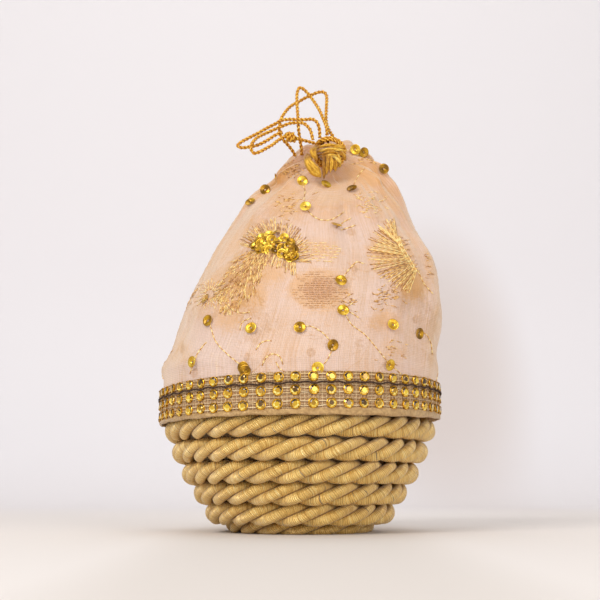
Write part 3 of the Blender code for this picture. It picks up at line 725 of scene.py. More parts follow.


# Sequins: cupped discs of foil with a hole in the middle

# outline: share of the radius and height, round the section; near: pixels that one may lie off its solid
# glint: how far the painted reflection in a sequin's face tones swings round its rim; the number after it:
# how much that painted reflection changes at random from face to face
sequinSet = {"radius": 2.3, "small": 1.9, "hole": 0.42, "thick": 0.1, "sides": 16, "seat": 0.2, "near": 26,
             "outline": ((0.55, 0.05), (0.8, 0.25), (1.0, 0.42), (0.97, 0.51), (0.78, 0.34), (0.55, 0.14)),
             "across": (0.31, 0.22, 0.93), "spin": 6.3, "lean": 0.12, "facingLean": 0.08, "rise": 0.95,
             "lift": 0.12, "glint": 0.25, "wear": 0.12, "touching": 0.0002}


def foilPaint():
    paint = Paint("sequinFoil", Metallic=0.6, Specular_IOR_Level=0.6)
    tone = paint.tone()
    # the tone is painted reflection: low tones give the dark gold of foil that seems to catch no light, high
    # ones its bright glints
    colour = paint.ramp(tone, (0.0, (120, 82, 8)), (0.35, (184, 134, 16)), (0.65, (212, 164, 28)),
                        (1.0, (244, 206, 76)))
    wear = paint.noise(1.6, 2.0)
    paint.set(Base_Color=paint.mix(wear.span(0.45, 0.75) * 0.5, colour, (173, 134, 48)),
              Roughness=0.14 + wear * 0.18)
    paint.bump(wear, 0.35, 0.2)
    return paint


def turnedIn(first, second, angle):
    # two directions turned in the plane that they span
    cosine, sine = math.cos(angle), math.sin(angle)
    return first * cosine + second * sine, second * cosine - first * sine


def addSequin(heap, seat, normal, radius, s, lean, spin):
    normal = unit(normal)
    side = unit(np.cross(normal, s["across"]))
    other = np.cross(normal, side)
    side, other = turnedIn(side, other, spin)
    normal, side = turnedIn(normal, side, lean)
    turn = 2 * np.pi * np.arange(s["sides"]) / s["sides"]
    rim = np.cos(turn)[:, None] * side + np.sin(turn)[:, None] * other
    outline = [(radius * share, rise) for share, rise in s["outline"]]
    outline = [(s["hole"], 0.0), *outline, (s["hole"], s["thick"])]
    rings = [seat + normal * s["seat"] + rim * reach + normal * rise for reach, rise in outline]
    # painted reflection: the face tones are a random brightness per sequin, a glint that runs twice round
    # the rim and a small random change per face
    shine = dice.random()
    tones = [clamp(shine + s["glint"] * math.cos(a * 2 + spin) + wander(s["wear"]))
             for _ in outline for a in turn]
    heap.add(np.vstack(rings), tubeFaces(len(outline), s["sides"], closed=True), tones)


foil = foilPaint()

# pixels of the sequins that are sewn on one by one, and how far each turns towards the camera
sewnSpots = [(209, 321, -0.25), (252, 329, 0.3), (300, 328, 0.3), (332, 345, 0.2), (340.5, 281.5, 0.2),
             (343, 311, 0.2), (392, 325.5, 0.4), (418.5, 333.5, 0.0), (389, 364.5, -0.1), (317.5, 368, 0.2),
             (244, 367.5, 0.2), (193.5, 362, 0.1), (306, 209, 0.6), (336, 227.5, -0.3), (352.5, 190, 0.15),
             (265.5, 191, 1.4), (251, 203.5, 0.2), (302, 182.5, 0.9), (383.5, 169, 0.0)]


def addFacing(heap, px, py, facing, turn, lift, s):
    # a sequin at a pixel, turned from the cloth towards the camera
    found = onCloth(px, py, turn, lift)
    if found is None:
        return
    seat, normal = found
    view = unit(-np.array(turnedRound(sight(px, py)[1], turn)))
    aim = unit(normal + facing * view)
    seat = seat + normal * s["radius"] * s["rise"] * math.sqrt(max(0, 1 - np.dot(aim, normal) ** 2))
    addSequin(heap, seat, aim, s["radius"], s, wander(s["facingLean"]), dice.uniform(0, s["spin"]))


def makeSewnSequins(s):
    # those in the photograph go to their pixels, those round the back stay where the solids have them
    heap = Heap()
    names = sorted(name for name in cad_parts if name.startswith("sequin_"))
    spots = list(sewnSpots)
    for name in names:
        low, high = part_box(name)
        middle = (Vector(low) + Vector(high)) / 2
        px, py, away = seenAt(np.array(middle) / mm)
        nearest = min(spots, key=lambda spot: math.hypot(spot[0] - px, spot[1] - py), default=(0, 0, 0))
        if away < cameraSet["away"] and math.hypot(nearest[0] - px, nearest[1] - py) < s["near"]:
            spots.remove(nearest)
            addFacing(heap, *nearest, 0.0, s["lift"], s)
            continue
        hit, normal, _, _ = clothTree.find_nearest(middle)
        if normal.dot(middle - hit) <= 0 and (middle - hit).length >= s["touching"]:
            normal = -normal
        addSequin(heap, np.array(hit) / mm, np.array(normal), s["radius"], s, wander(s["lean"]),
                  dice.uniform(0, s["spin"]))
    for spot in spots:
        addFacing(heap, *spot, 0.0, s["lift"], s)
    settle(heap.make("sewn_sequins", foil), "sequin_foil", *names)


makeSewnSequins(sequinSet)


# Embroidery: motifs of beaded thread with sequins, and vines of chain stitch, all placed by pixels

# thickness, lift and longest in millimetres; the rest in pixels of the photograph, angles in radians
stitchSet = {"thickness": 0.17, "lift": 0.1, "step": 1.5, "longest": 3.0, "read": 24,
             "uneven": 0.15, "tones": (0.0, 0.35, 0.6, 0.9), "bow": 0.6, "contrast": 0.45, "beading": 0.15}
crescent = {"outer": [(254, 249), (259, 242), (266, 237), (277, 235), (288, 241), (294, 250), (297, 262)],
            "inner": [(255, 250), (261, 252), (268, 252), (276, 254), (284, 257), (290, 260), (296, 262)],
            "middle": (276, 262), "rays": 84, "reach": (11, 18), "lean": (-0.25, 0.3), "stagger": 4,
            "fan": 0.08, "below": 44, "belowAim": (2.5, 1.1), "belowReach": 0.9, "belowFan": 0.1,
            # how deep each row of sequins lies between the two edges, and how many it has
            "sequinRows": [(0.04, 9), (0.32, 8), (0.6, 7), (0.88, 7)], "inset": 0.13, "stray": 0.15,
            "pile": (0.9, 0.24), "size": (0.9, 1.1), "tip": 0.28}
tail = {"spine": [(258, 254), (250, 266), (241, 280), (229, 296), (220, 304)], "half": 16, "threads": 330,
        "onward": 0.05, "taper": (0.55, 0.45, 3.1), "aim": (2.1, 0.5), "fan": 0.3, "reach": (3, 8)}
flower = {"spine": [(397, 236), (401, 246), (407, 257), (412, 266), (416, 273)], "rays": 120,
          "fan": (-1.75, -4.45), "stray": 0.4, "loose": 0.05, "reach": (19, 40, 21), "bulge": 1.5,
          "ragged": (0.7, 1.05), "right": 22, "rightFan": (-0.6, 0.8), "rightReach": (4, 11),
          "rightTone": 0.3, "ribs": (-1.6, -0.6, 0.5, 1.3), "ribStray": 0.5,
          "ribWidth": 0.3, "ribTone": 0.85}
oval = {"middle": (318, 290), "half": (26, 19), "rows": 17, "step": 0.22, "long": 0.2, "least": 0.5,
        "more": 0.6, "loose": 0.4, "width": 0.12, "shade": 0.25, "contrast": 0.2}
streaks = {"rows": [(243, 298, 326), (246, 302, 336), (249, 300, 338), (252, 304, 340), (255, 310, 338),
                    (258, 312, 336), (261, 316, 332)], "long": (3, 9), "gap": (1, 4),
           "loose": 1, "tone": 1.0}
# middle, half width and half height, how many threads, tone
patches = [(358, 151, 9, 3, 34, 1.0), (288, 170, 10, 9, 44, 0.25), (365, 158, 12, 7, 44, 0.45),
           (287, 205, 14, 12, 40, 0.4), (368, 205, 14, 12, 34, 0.7), (345, 300, 10, 8, 20, 0.3),
           (383, 297, 16, 10, 40, 0.3), (430, 262, 5, 14, 30, 0.3), (392, 352, 12, 9, 16, 0.4)]
patchSet = {"spread": 1.8, "fan": 0.6, "reach": (3, 7)}
sideFlower = {"middle": (210, 294), "eye": 4, "rays": 26, "reach": (7, 15), "tone": 0.6}
vines = [[(209, 321), (212, 331), (215, 340), (220, 347), (225, 352), (233, 359), (241, 365)],
         [(343, 311), (348, 319), (352, 325), (365, 335), (378, 350), (388, 362), (402, 375)],
         [(300, 328), (307, 326), (313, 327), (320, 331), (325, 335), (330, 341), (332, 347)],
         [(332, 345), (331, 352), (327, 360), (322, 366), (318, 369)],
         [(418, 332), (424, 333), (428, 337), (431, 345), (432, 355)],
         [(194, 361), (192, 368), (190, 374)], [(194, 361), (200, 350), (207, 342)],
         [(240, 330), (241, 325), (244, 321), (252, 318)], [(256, 350), (260, 344), (266, 341), (272, 341)],
         [(262, 366), (266, 358), (273, 354), (280, 357), (283, 365)], [(276, 362), (280, 369), (286, 372)],
         [(302, 183), (305, 191), (304, 199), (306, 208), (316, 218), (330, 220), (344, 212)],
         [(352, 190), (356, 180), (361, 172), (366, 168)], [(336, 228), (344, 222), (352, 218)],
         [(341, 230), (348, 228), (356, 225)], [(226, 300), (232, 309), (241, 313), (250, 312)],
         [(343, 278), (347, 272), (352, 266), (357, 262), (364, 264)], [(345, 308), (351, 304), (356, 301)],
         [(346, 310), (353, 314), (359, 318)], [(413, 266), (418, 272), (424, 284), (433, 294)]]
vineSet = (0.26, 0.55, 0.6)  # thickness, tone and contrast
looseSequins = [(325, 186, -0.2), (246, 371, 0.2), (354, 149.5, 0.9), (362, 152, 0.5), (230, 330, 0.3),
                (300, 352, 0.4)]
strewn = {"inFront": 4, "lift": 0.3, "aside": (-14, 10), "down": (-6, 10)}


def addThread(heap, route, turn, width, tone, contrast=0.7, beading=0.3):
    # a line of stitches through pixels, its beads light and dark in turn
    path = smoothRead(route, np.linspace(0, len(route) - 1, stitchSet["read"] * len(route)))
    walked = lengthsAlong(path)
    even = np.arange(0, walked[-1] + 0.1, stitchSet["step"])
    pixels = zip(*(np.interp(even, walked, path[:, axis]) for axis in (0, 1)))
    spots = [onCloth(px, py, turn, stitchSet["lift"]) for px, py in pixels]
    if len(spots) < 2 or any(spot is None for spot in spots):
        return
    line = np.array([spot[0] for spot in spots])
    if np.linalg.norm(np.diff(line, axis=0), axis=1).max() > stitchSet["longest"]:
        return
    first = dice.randint(0, 5)
    beads = width * (1 + beading * np.where((np.arange(len(line)) + first) % 2, 0.5, -1.0))
    points, faces = tube(line, beads, 4)
    tones = [clamp(tone + contrast * ((i + first) // 2 % 2 - 0.5) + wander(stitchSet["uneven"]))
             for i in range(len(line) - 1) for _ in range(4)]
    heap.add(points, faces, tones + [tone, tone])


def along(route, share):
    return smoothRead(route, share * (len(route) - 1))


def way(angle):
    return np.array((math.cos(angle), math.sin(angle)))


def addRay(heap, root, angle, reach, turn, tone=None):
    tone = dice.choice(stitchSet["tones"]) if tone is None else tone
    aim = way(angle)
    bow = np.array((-aim[1], aim[0])) * wander(stitchSet["bow"])
    route = [root, root + aim * reach / 2 + bow, root + aim * reach]
    addThread(heap, route, turn, stitchSet["thickness"], tone, stitchSet["contrast"], stitchSet["beading"])


def makeCrescent(heap, spangles, turn, shift, s):
    for i in range(s["rays"]):
        root = along(s["outer"], i / (s["rays"] - 1))
        outward = math.atan2(*(root - s["middle"])[::-1]) + s["lean"][0] + s["lean"][1] * i / s["rays"]
        start = dice.uniform(0, s["stagger"]) * (i % 2)
        root = root + shift + start * way(outward)
        addRay(heap, root, outward + wander(s["fan"]), dice.uniform(*s["reach"]) - start / 2, turn)
    for i in range(s["below"]):
        share = i / s["below"]
        aim = s["belowAim"][0] - s["belowAim"][1] * share + wander(s["belowFan"])
        reach = dice.uniform(*s["reach"]) * s["belowReach"]
        addRay(heap, along(s["inner"], share) + shift, aim, reach, turn)
    for row, (depth, count) in enumerate(s["sequinRows"]):
        for i in range(count):
            inset = depth * s["inset"]
            share = inset + (1 - 2 * inset) * (i + 0.5 + wander(s["stray"])) / count
            spot = along(s["outer"], share) * (1 - depth) + along(s["inner"], share) * depth + shift
            found = onCloth(*spot, turn, s["pile"][0] - s["pile"][1] * row)
            if found:
                addSequin(spangles, *found, sequinSet["small"] * dice.uniform(*s["size"]), sequinSet,
                          wander(s["tip"]), dice.uniform(0, sequinSet["spin"]))


def makeTail(heap, turn, shift, s):
    # a field of short stitches that trails away from the crescent
    for _ in range(s["threads"]):
        share, side = dice.random(), wander(1)
        here, onward = along(s["spine"], share), along(s["spine"], min(1, share + s["onward"]))
        run = unit(onward - here + 1e-6)
        least, more, bend = s["taper"]
        half = s["half"] * (least + more * math.sin(bend * share))
        spot = here + np.array((-run[1], run[0])) * side * half + shift
        aim = s["aim"][0] + s["aim"][1] * side + wander(s["fan"])
        addRay(heap, spot, aim, dice.uniform(*s["reach"]), turn)


def makeFlower(heap, turn, shift, s):
    # half a flower: long rays to one side of a gold spine, short ones to the other
    near, far, low = s["reach"]
    first, last = s["fan"]
    for i in range(s["rays"]):
        share = (i + wander(s["stray"])) / s["rays"]
        angle = first + (last - first) * share + wander(s["loose"])
        bulge = (far - (near + low) / 2) * math.sin(math.pi * max(0, share)) ** s["bulge"]
        reach = (near * (1 - share) + low * share + bulge) * dice.uniform(*s["ragged"])
        addRay(heap, along(s["spine"], clamp(share)) + shift, angle, reach, turn)
    for i in range(s["right"]):
        addRay(heap, along(s["spine"], i / s["right"]) + shift, dice.uniform(*s["rightFan"]),
               dice.uniform(*s["rightReach"]), turn, s["rightTone"])
    for side in s["ribs"]:
        route = [(x + side + shift[0] + wander(s["ribStray"]), y + shift[1]) for x, y in s["spine"]]
        addThread(heap, route, turn, s["ribWidth"], s["ribTone"])


def makeOval(heap, turn, shift, s):
    # darned rows, closest and darkest in the middle
    for row in range(s["rows"]):
        y = -1 + 2 * (row + 0.5) / s["rows"]
        reach = math.sqrt(1 - y * y)
        for low in np.arange(-reach, reach, s["step"]):
            if dice.random() < s["least"] + s["more"] * (1 - low * low - y * y):
                left = np.array(s["middle"]) + np.array(s["half"]) * (low, y) + shift
                right = left + (s["half"][0] * s["long"], wander(s["loose"]))
                tone = s["shade"] * (low * low + y * y)
                addThread(heap, [left, right], turn, s["width"], tone, s["contrast"])


def embroider(heap, spangles, turn):
    shift = np.array((0, 0))
    if turn:
        shift = np.array((dice.uniform(*strewn["aside"]), dice.uniform(*strewn["down"])))
    makeCrescent(heap, spangles, turn, shift, crescent)
    makeTail(heap, turn, shift, tail)
    makeFlower(heap, turn, shift, flower)
    makeOval(heap, turn, shift, oval)
    for y, left, right in streaks["rows"]:
        x = left
        while x < right:
            reach = dice.uniform(*streaks["long"])
            start = np.array((x, y)) + shift
            ends = [start, start + (reach, wander(streaks["loose"]))]
            addThread(heap, ends, turn, stitchSet["thickness"], streaks["tone"])
            x += reach + dice.uniform(*streaks["gap"])
    for x, y, wide, high, count, tone in patches:
        for _ in range(count):
            across, down = dice.gauss(x, wide / patchSet["spread"]), dice.gauss(y, high / patchSet["spread"])
            aim, reach = wander(patchSet["fan"]), dice.uniform(*patchSet["reach"])
            addRay(heap, np.array((across, down)) + shift, aim, reach, turn, tone)
    for i in range(sideFlower["rays"]):
        angle = 2 * math.pi * i / sideFlower["rays"]
        root = np.array(sideFlower["middle"]) + shift + sideFlower["eye"] * way(angle)
        addRay(heap, root, angle, dice.uniform(*sideFlower["reach"]), turn, sideFlower["tone"])
    for route in vines:
        addThread(heap, [np.array(p) + shift for p in route], turn, *vineSet)
    for x, y, facing in looseSequins[:None if turn else strewn["inFront"]]:
        addFacing(spangles, x + shift[0], y + shift[1], facing, turn, strewn["lift"], sequinSet)


def threadPaint():
    paint = Paint("embroideryThread", Metallic=0.12, Sheen_Weight=0.2)
    colour = paint.ramp(paint.tone(), (0.0, (158, 100, 36)), (0.3, (206, 148, 68)), (0.6, (246, 200, 116)),
                        (1.0, (255, 234, 160)))
    grain = paint.noise(2.2, 2.0)
    paint.set(Base_Color=paint.mix(grain * 0.15, colour, (188, 149, 89)), Roughness=0.34 + grain * 0.2)
    return paint


stitches, clusters = Heap(), Heap()
for turn in turnsRound:
    embroider(stitches, clusters, turn)
settle(stitches.make("embroidery", threadPaint()), "gilt_cord")
settle(clusters.make("clustered_sequins", foil), "sequin_foil")
print("embroidery made,", len(stitches.faces), "faces")


# Trim: net tape, ribbon edge, stones in cups, ladder threads and a dark couched thread

trimSet = {"columns": 56, "turn": 1.65, "rows": (47.7, 52.2, 56.7), "low": 44.6, "high": 58.4,
           # sections of the tape and of the ribbon folded round its lower edge: radius and height
           "tape": ((57.62, 44.9), (58.05, 44.9), (58.05, 58.4), (57.62, 58.4)), "scallop": 0.12,
           "ribbon": ((57.57, 44.6), (58.2, 44.5), (58.6, 44.85), (58.65, 45.5), (58.4, 46.0), (58.1, 46.2)),
           "ripple": (0.07, 61, 2, 7), "rippleUp": (0.16, 23), "sides": (168, 336), "creases": (40, 60, 50),
           "stone": 1.8, "crown": (0.78, 0.72), "girdle": 0.35, "table": 0.9, "cup": 1.96,
           "seat": 58.15, "height": 0.95,
           # how far a stone leans, lies off its place and is turned, and how unlike the painted reflections
           # of its facets are
           "lean": 0.12, "nod": 0.1, "off": (0.15, 0.12), "spin": 0.8, "glint": 0.35,
           # section of a cup and path of a claw: out from the cup's radius, lift over the seat
           "cupEdge": ((-0.1, -0.35), (0.0, 0.05), (-0.02, 0.5), (-0.2, 0.62), (-0.32, 0.5), (-0.4, 0.2)),
           "claw": ((-0.05, 0.1), (0.06, 0.62), (-0.48, 0.86)), "clawRadius": (0.2, 0.2, 0.13),
           "threadAt": 54.6, "threadOut": 59.0,
           # how far the band rises at the right, and at the front at its lower and its upper edge
           "askew": (1.45, 0.1, 1.5), "mostFront": 0.6, "ribbonDrop": 1.1, "dropAt": 5.4,
           # threads across: heights off a row's middle, places in half steps; threads down: places
           "ladder": (-0.85, 0.75), "across": (0.45, 0.8, 1.2, 1.55), "acrossRadius": 0.17,
           "acrossOut": 58.37, "slack": (0.1, 0.12), "stray": 0.003,
           "down": (-0.35, 0.4), "downReach": 1.5, "downRadius": 0.15, "downOut": 58.25}
darkCord = {"radius": 0.42, "plies": 2, "ply": 0.62, "lay": 2.6, "sides": 6, "points": 520,
            "wave": (0.22, 0.8, 9), "drift": (0.12, 31)}


def askew(angle, height, s):
    # the band lies a little askew, and its upper edge bows up at the front
    right, low, high = s["askew"]
    share = (height - s["low"]) / (s["high"] - s["low"])
    front = min(s["mostFront"], math.sin(angle))
    return height + right * math.cos(angle) - (low + (high - low) * share) * front


def ringPoint(angle, radius, height):
    return np.array((radius * math.cos(angle), radius * math.sin(angle), askew(angle, height, trimSet)))


def turned(profile, count, wave):
    # points and faces of a closed outline turned round the upright axis, pushed out and up by a wave
    angles = 2 * np.pi * np.arange(count) / count
    rings = []
    for angle in angles:
        for i, (radius, height) in enumerate(profile):
            push, rise = wave(angle, i)
            rings.append(ringPoint(angle, radius + push, height + rise))
    return rings, tubeFaces(count, len(profile), closed=True)


def netPaint():
    paint = Paint("netTape", Roughness=0.75)
    x, y, z = paint.axes(paint.place())
    grain = paint.noise(1.5, 3.0, 0.7, paint.scaled(paint.place(), (1.0, 1.0, 2.0)))
    rows = (z * 5.0 + grain * 2.4).sine()
    columns = (y.maths("ARCTAN2", x) * 224.0 + grain * 2.4).sine()
    colour = paint.ramp(grain, (0.3, (118, 80, 46)), (0.5, (178, 136, 92)), (0.7, (214, 176, 132)))
    mesh = paint.mix(rows.span(0.55, 0.95) * 0.6, colour, (240, 214, 170))
    paint.set(Base_Color=paint.mix(columns.span(0.6, 0.95) * 0.5, mesh, (240, 214, 170)))
    paint.bump(rows + columns + grain * 2.0, 0.9, 0.25)
    return paint


def ribbonPaint():
    paint = Paint("ribbonEdge", Metallic=0.15, Sheen_Weight=0.2)
    x, y, z = paint.axes(paint.place())
    around = y.maths("ARCTAN2", x) * 58.0
    lines = ((around + z * 1.4) * 8.0 + paint.noise(0.5, 2.0) * 6.0).sine()
    colour = paint.ramp(paint.noise(0.8, 3.0), (0.3, (160, 122, 72)), (0.7, (212, 176, 118)))
    paint.set(Base_Color=paint.mix(lines.span(0.0, 1.0) * 0.3, colour, (155, 124, 80)),
              Roughness=0.36 + lines.span(-1.0, 1.0) * 0.12)
    paint.bump(lines, 0.5, 0.12)
    return paint


def addStone(cups, stones, angle, height, s):
    out = np.array((*way(angle), 0))
    across, up = np.array((-out[1], out[0], 0)), np.array((0, 0, 1))
    lean = wander(s["lean"])
    out = unit(out + up * wander(s["nod"]) + across * lean)
    across = unit(across - out * np.dot(across, out))
    up = np.cross(out, across)
    seat = ringPoint(angle, s["seat"], height) + across * wander(s["off"][0]) + up * wander(s["off"][1])

    def circleAt(radius, lift, count, spin=0.0):
        return [seat + out * lift + (across * math.cos(a) + up * math.sin(a)) * radius
                for a in spin + 2 * np.pi * np.arange(count) / count]

    edge = [point for far, lift in s["cupEdge"] for point in circleAt(s["cup"] + far, lift, 14)]
    cups.add(edge, tubeFaces(len(s["cupEdge"]), 14))
    for corner in range(4):  # claws bent over the stone
        a = math.pi / 4 + corner * math.pi / 2
        aim = across * math.cos(a) + up * math.sin(a)
        claw = np.array([seat + aim * (s["cup"] + far) + out * lift for far, lift in s["claw"]])
        # painted shade: the claws get a darker tone (0.15) than the cup they stand on, though both are one
        # metal
        cups.add(*tube(claw, s["clawRadius"], 5), 0.15)
    # stone: girdle, eight crown facets and eight stars, and a table; their tones are painted reflections
    spin = dice.uniform(0, s["spin"])
    share, lift = s["crown"]
    girdle = circleAt(s["stone"], s["girdle"], 16, spin)
    crown = circleAt(s["stone"] * share, lift, 8, spin)
    table = circleAt(s["table"], s["height"], 8, spin + math.pi / 8)
    # painted reflection: facets turned towards the lower side get bright tones and the others dark, with a
    # random change per facet and a random tone for the table
    bright = math.radians(-50 if out[0] > 0 else -130)  # the lower facets are the bright ones
    faces, tones = [], []
    for i in range(8):
        j = (i + 1) % 8
        k = 2 * i + 1
        faces += [(2 * i, k, 16 + i), (k, (k + 1) % 16, 16 + j), (k, 16 + j, 16 + i),
                  (16 + i, 16 + j, 24 + i), (16 + j, 24 + j, 24 + i)]
        facing = 0.5 + 0.5 * math.cos(spin + math.pi * (i + 0.5) / 4 - bright)
        tones += [clamp(facing + wander(s["glint"])) for _ in range(5)]
    tones.append(dice.choice((0.1, 0.35, 0.45, 0.55, 0.65, 0.8)))
    stones.add(girdle + crown + table, faces + [tuple(range(24, 32))], tones)


def makeTrim(s):
    netCrease, ribbonCrease, cupCrease = s["creases"]
    netSides, ribbonSides = s["sides"]

    def scallop(angle, i):
        return 0, s["scallop"] * math.sin(s["columns"] * angle) if i > 1 else 0

    def ripple(angle, i):
        out, waves, drift, slow = s["ripple"]
        up, count = s["rippleUp"]
        drop = s["ribbonDrop"] * max(0, math.cos(angle - s["dropAt"])) ** 3 if i < 4 else 0
        push = out * math.sin(waves * angle + drift * math.sin(slow * angle))
        return push, up * math.sin(count * angle + i) - drop

    net = makeMesh("net_tape", *turned(s["tape"], netSides, scallop), netPaint(), sharp=netCrease)
    settle(net, "gold_stones", "trim_band")
    ribbon = makeMesh("ribbon_edge", *turned(s["ribbon"], ribbonSides, ripple), ribbonPaint(),
                      sharp=ribbonCrease)
    settle(ribbon, "satin_rope", "trim_band")

    cups, stones, links = Heap(), Heap(), Heap()
    halfStep = math.pi / s["columns"]
    for column in range(s["columns"]):
        angle = 2 * math.pi * (column + 0.5) / s["columns"] + math.radians(s["turn"])
        for height in s["rows"]:
            addStone(cups, stones, angle + wander(s["stray"]), height, s)
            for rise in s["ladder"]:
                path = [ringPoint(angle + halfStep * f, s["acrossOut"] + wander(s["slack"][0]),
                                  height + rise + wander(s["slack"][1])) for f in s["across"]]
                links.add(*tube(np.array(path), s["acrossRadius"], 5), dice.random())
        for lower, upper in zip(s["rows"], s["rows"][1:]):
            for f in s["down"]:
                path = [ringPoint(angle + halfStep * f, s["downOut"], h)
                        for h in (lower + s["downReach"], (lower + upper) / 2, upper - s["downReach"])]
                links.add(*tube(np.array(path), s["downRadius"], 5), dice.random() * 0.5)
    settle(cups.make("stone_cups", cupPaint(), cupCrease), "gold_stones", "trim_band")
    settle(stones.make("stones", stonePaint(), 0), "gold_stones", "trim_band")
    settle(links.make("ladder_threads", linkPaint()), "gold_stones", "trim_band")


def cupPaint():
    paint = Paint("stoneCup", Metallic=0.85)
    colour = paint.ramp(paint.tone(), (0.0, (96, 62, 14)), (0.5, (232, 178, 50)), (1.0, (250, 214, 96)))
    wear = paint.noise(1.1, 3.0)
    paint.set(Base_Color=paint.mix(wear.span(0.5, 0.8) * 0.6, colour, (158, 115, 39)),
              Roughness=0.2 + wear * 0.2)
    return paint


def stonePaint():
    paint = Paint("stone", Metallic=0.35, Specular_IOR_Level=0.8, Coat_Weight=0.5)
    # the facet tones are painted reflections, from dark facets to bright glints
    colour = paint.ramp(paint.tone(), (0.0, (50, 30, 4)), (0.2, (128, 88, 10)), (0.45, (206, 156, 22)),
                        (0.8, (246, 210, 52)), (1.0, (255, 246, 150)))
    paint.set(Base_Color=colour, Roughness=0.08 + paint.noise(1.0) * 0.12)
    return paint


def linkPaint():
    paint = Paint("ladderThread", Metallic=0.3)
    grain = paint.noise(1.8, 2.0)
    colour = paint.ramp(paint.tone(), (0.0, (176, 136, 84)), (0.4, (236, 206, 152)), (1.0, (255, 236, 196)))
    paint.set(Base_Color=paint.mix(grain * 0.25, colour, (162, 129, 89)),
              Roughness=0.3 + grain * 0.3)
    return paint


def makeDarkThread(s):
    angles = np.linspace(0, 2 * np.pi, darkCord["points"])
    far, bend, slow = darkCord["wave"]
    small, count = darkCord["drift"]
    wave = far * np.sin(s["columns"] * angles + bend * np.sin(slow * angles))
    wave = wave + small * np.sin(count * angles)
    path = np.array([ringPoint(a, s["threadOut"], s["threadAt"] + w) for a, w in zip(angles, wave)])
    heap = Heap()
    twistedCord(heap, path, darkCord)
    paint = Paint("darkThread", Roughness=0.7)
    grain = paint.noise(1.6, 3.0)
    paint.set(Base_Color=paint.ramp(grain, (0.3, (34, 16, 4)), (0.7, (78, 46, 18))))
    paint.bump(grain, 0.6, 0.1)
    settle(heap.make("dark_thread", paint), "brown_thread", "trim_thread")


makeTrim(trimSet)
makeDarkThread(trimSet)
print("trim made")


# Neck: turns of cord, and the gold-edged mouth that falls open below them

# crossings: turns that lie over the others, as tilt, depth and radius
neckSet = {"across": 12.5, "height": 157.22, "front": -15.7, "long": 4.2, "radius": 5.9, "swell": 0.5,
           "turns": 3.1, "points": 160,
           "crossings": ((0.35, -16.2, 6.7), (-0.3, -18.2, 6.6), (0.15, -19.2, 6.5)),
           "crossed": (0.1, 3.3, 60), "tilted": 4, "thin": 0.9}


def makeWinding(s):
    heap = Heap()

    def wind(angle, radius, depth, swell=1.0):
        path = [s["across"] + radius * np.cos(angle), depth, s["height"] + radius * np.sin(angle)]
        twistedCord(heap, np.stack(path, axis=1), cordSet, swell)

    t = np.linspace(0, 1, s["points"])
    angle = 2 * np.pi * s["turns"] * t + math.pi / 2
    wind(angle, s["radius"] + s["swell"] * np.sin(5 * t), s["front"] - s["long"] * t)
    for tilt, depth, reach in s["crossings"]:
        angle = np.linspace(*s["crossed"])
        wind(angle, reach, depth + tilt * s["tilted"] * np.cos(angle), s["thin"])
    settle(heap.make("neck_turns", gilt), "gilt_cord", "neck_winding")


# folds of the mouth, as pixels of the photograph: root, middle and tip with their depths, width, swell, tone
frillSet = {"rows": 22, "across": 18, "step": 0.2, "forward": (0.0, -1.0, 0.1), "round": 0.62,
            "least": 0.35, "tipFrom": 0.72, "folds": [
    ((309, 154, -21.4), (309, 163, -24.0), (321, 177, -23.0), 4.6, 1.8, 0.5),
    ((318, 145, -20.4), (313, 152, -23.0), (317, 160, -23.4), 3.0, 1.5, 0.4),
    ((323, 150, -21.0), (324, 160, -22.4), (324, 179, -22.2), 1.6, 0.6, 0.0),
    ((326, 150, -21.0), (328, 161, -23.4), (326, 175, -22.6), 1.7, 1.0, 0.3),
    ((328, 150, -21.0), (332, 161, -23.6), (330, 173, -23.0), 1.7, 1.0, 0.55),
    ((331, 150, -21.0), (336, 160, -23.4), (335, 172, -22.8), 1.7, 1.0, 0.3),
    ((334, 150, -21.0), (339, 158, -23.2), (340, 168, -22.4), 1.6, 0.9, 0.6),
    ((329, 155, -22.4), (336, 158, -24.6), (342, 165, -23.4), 1.1, 0.7, 1.0),
    ((338, 150, -20.6), (343, 154, -22.4), (346, 161, -21.4), 1.6, 0.8, 0.35),
    ((314, 149, -20.6), (329, 145, -22.4), (346, 148, -20.6), 1.6, 0.8, 0.5),
    ((316, 152, -20.8), (330, 149, -23.0), (347, 151, -21.0), 1.5, 0.8, 0.8),
    ((318, 155, -21.0), (332, 152, -23.2), (346, 156, -21.2), 1.4, 0.8, 0.3),
    ((320, 157, -21.0), (333, 155, -23.4), (341, 160, -22.2), 1.1, 0.7, 0.7)]}


def frillPaint():
    paint = Paint("goldBorder", Metallic=0.4, Sheen_Weight=0.2)
    along, across, _ = paint.axes(paint.layout())
    grain = paint.grain((0.5, 2.6, 1.0), 4.0, 0.7)
    ribs = (across * 8.0 + grain * 4.0).sine()
    colour = paint.ramp(grain * 0.75 + paint.tone() * 0.3, (0.26, (112, 66, 6)), (0.44, (178, 122, 14)),
                        (0.58, (222, 172, 44)), (0.74, (250, 222, 118)))
    # painted shade: each fold darkens towards (116, 62, 8) over its first 6 mm, at its root under the neck
    # turns
    paint.set(Base_Color=paint.mix(along.span(6.0, 1.0) * 0.45, colour, (116, 62, 8)),
              Roughness=0.28 + grain * 0.25)
    paint.bump(ribs * 0.5 + grain * 1.5, 0.6, 0.25)
    return paint


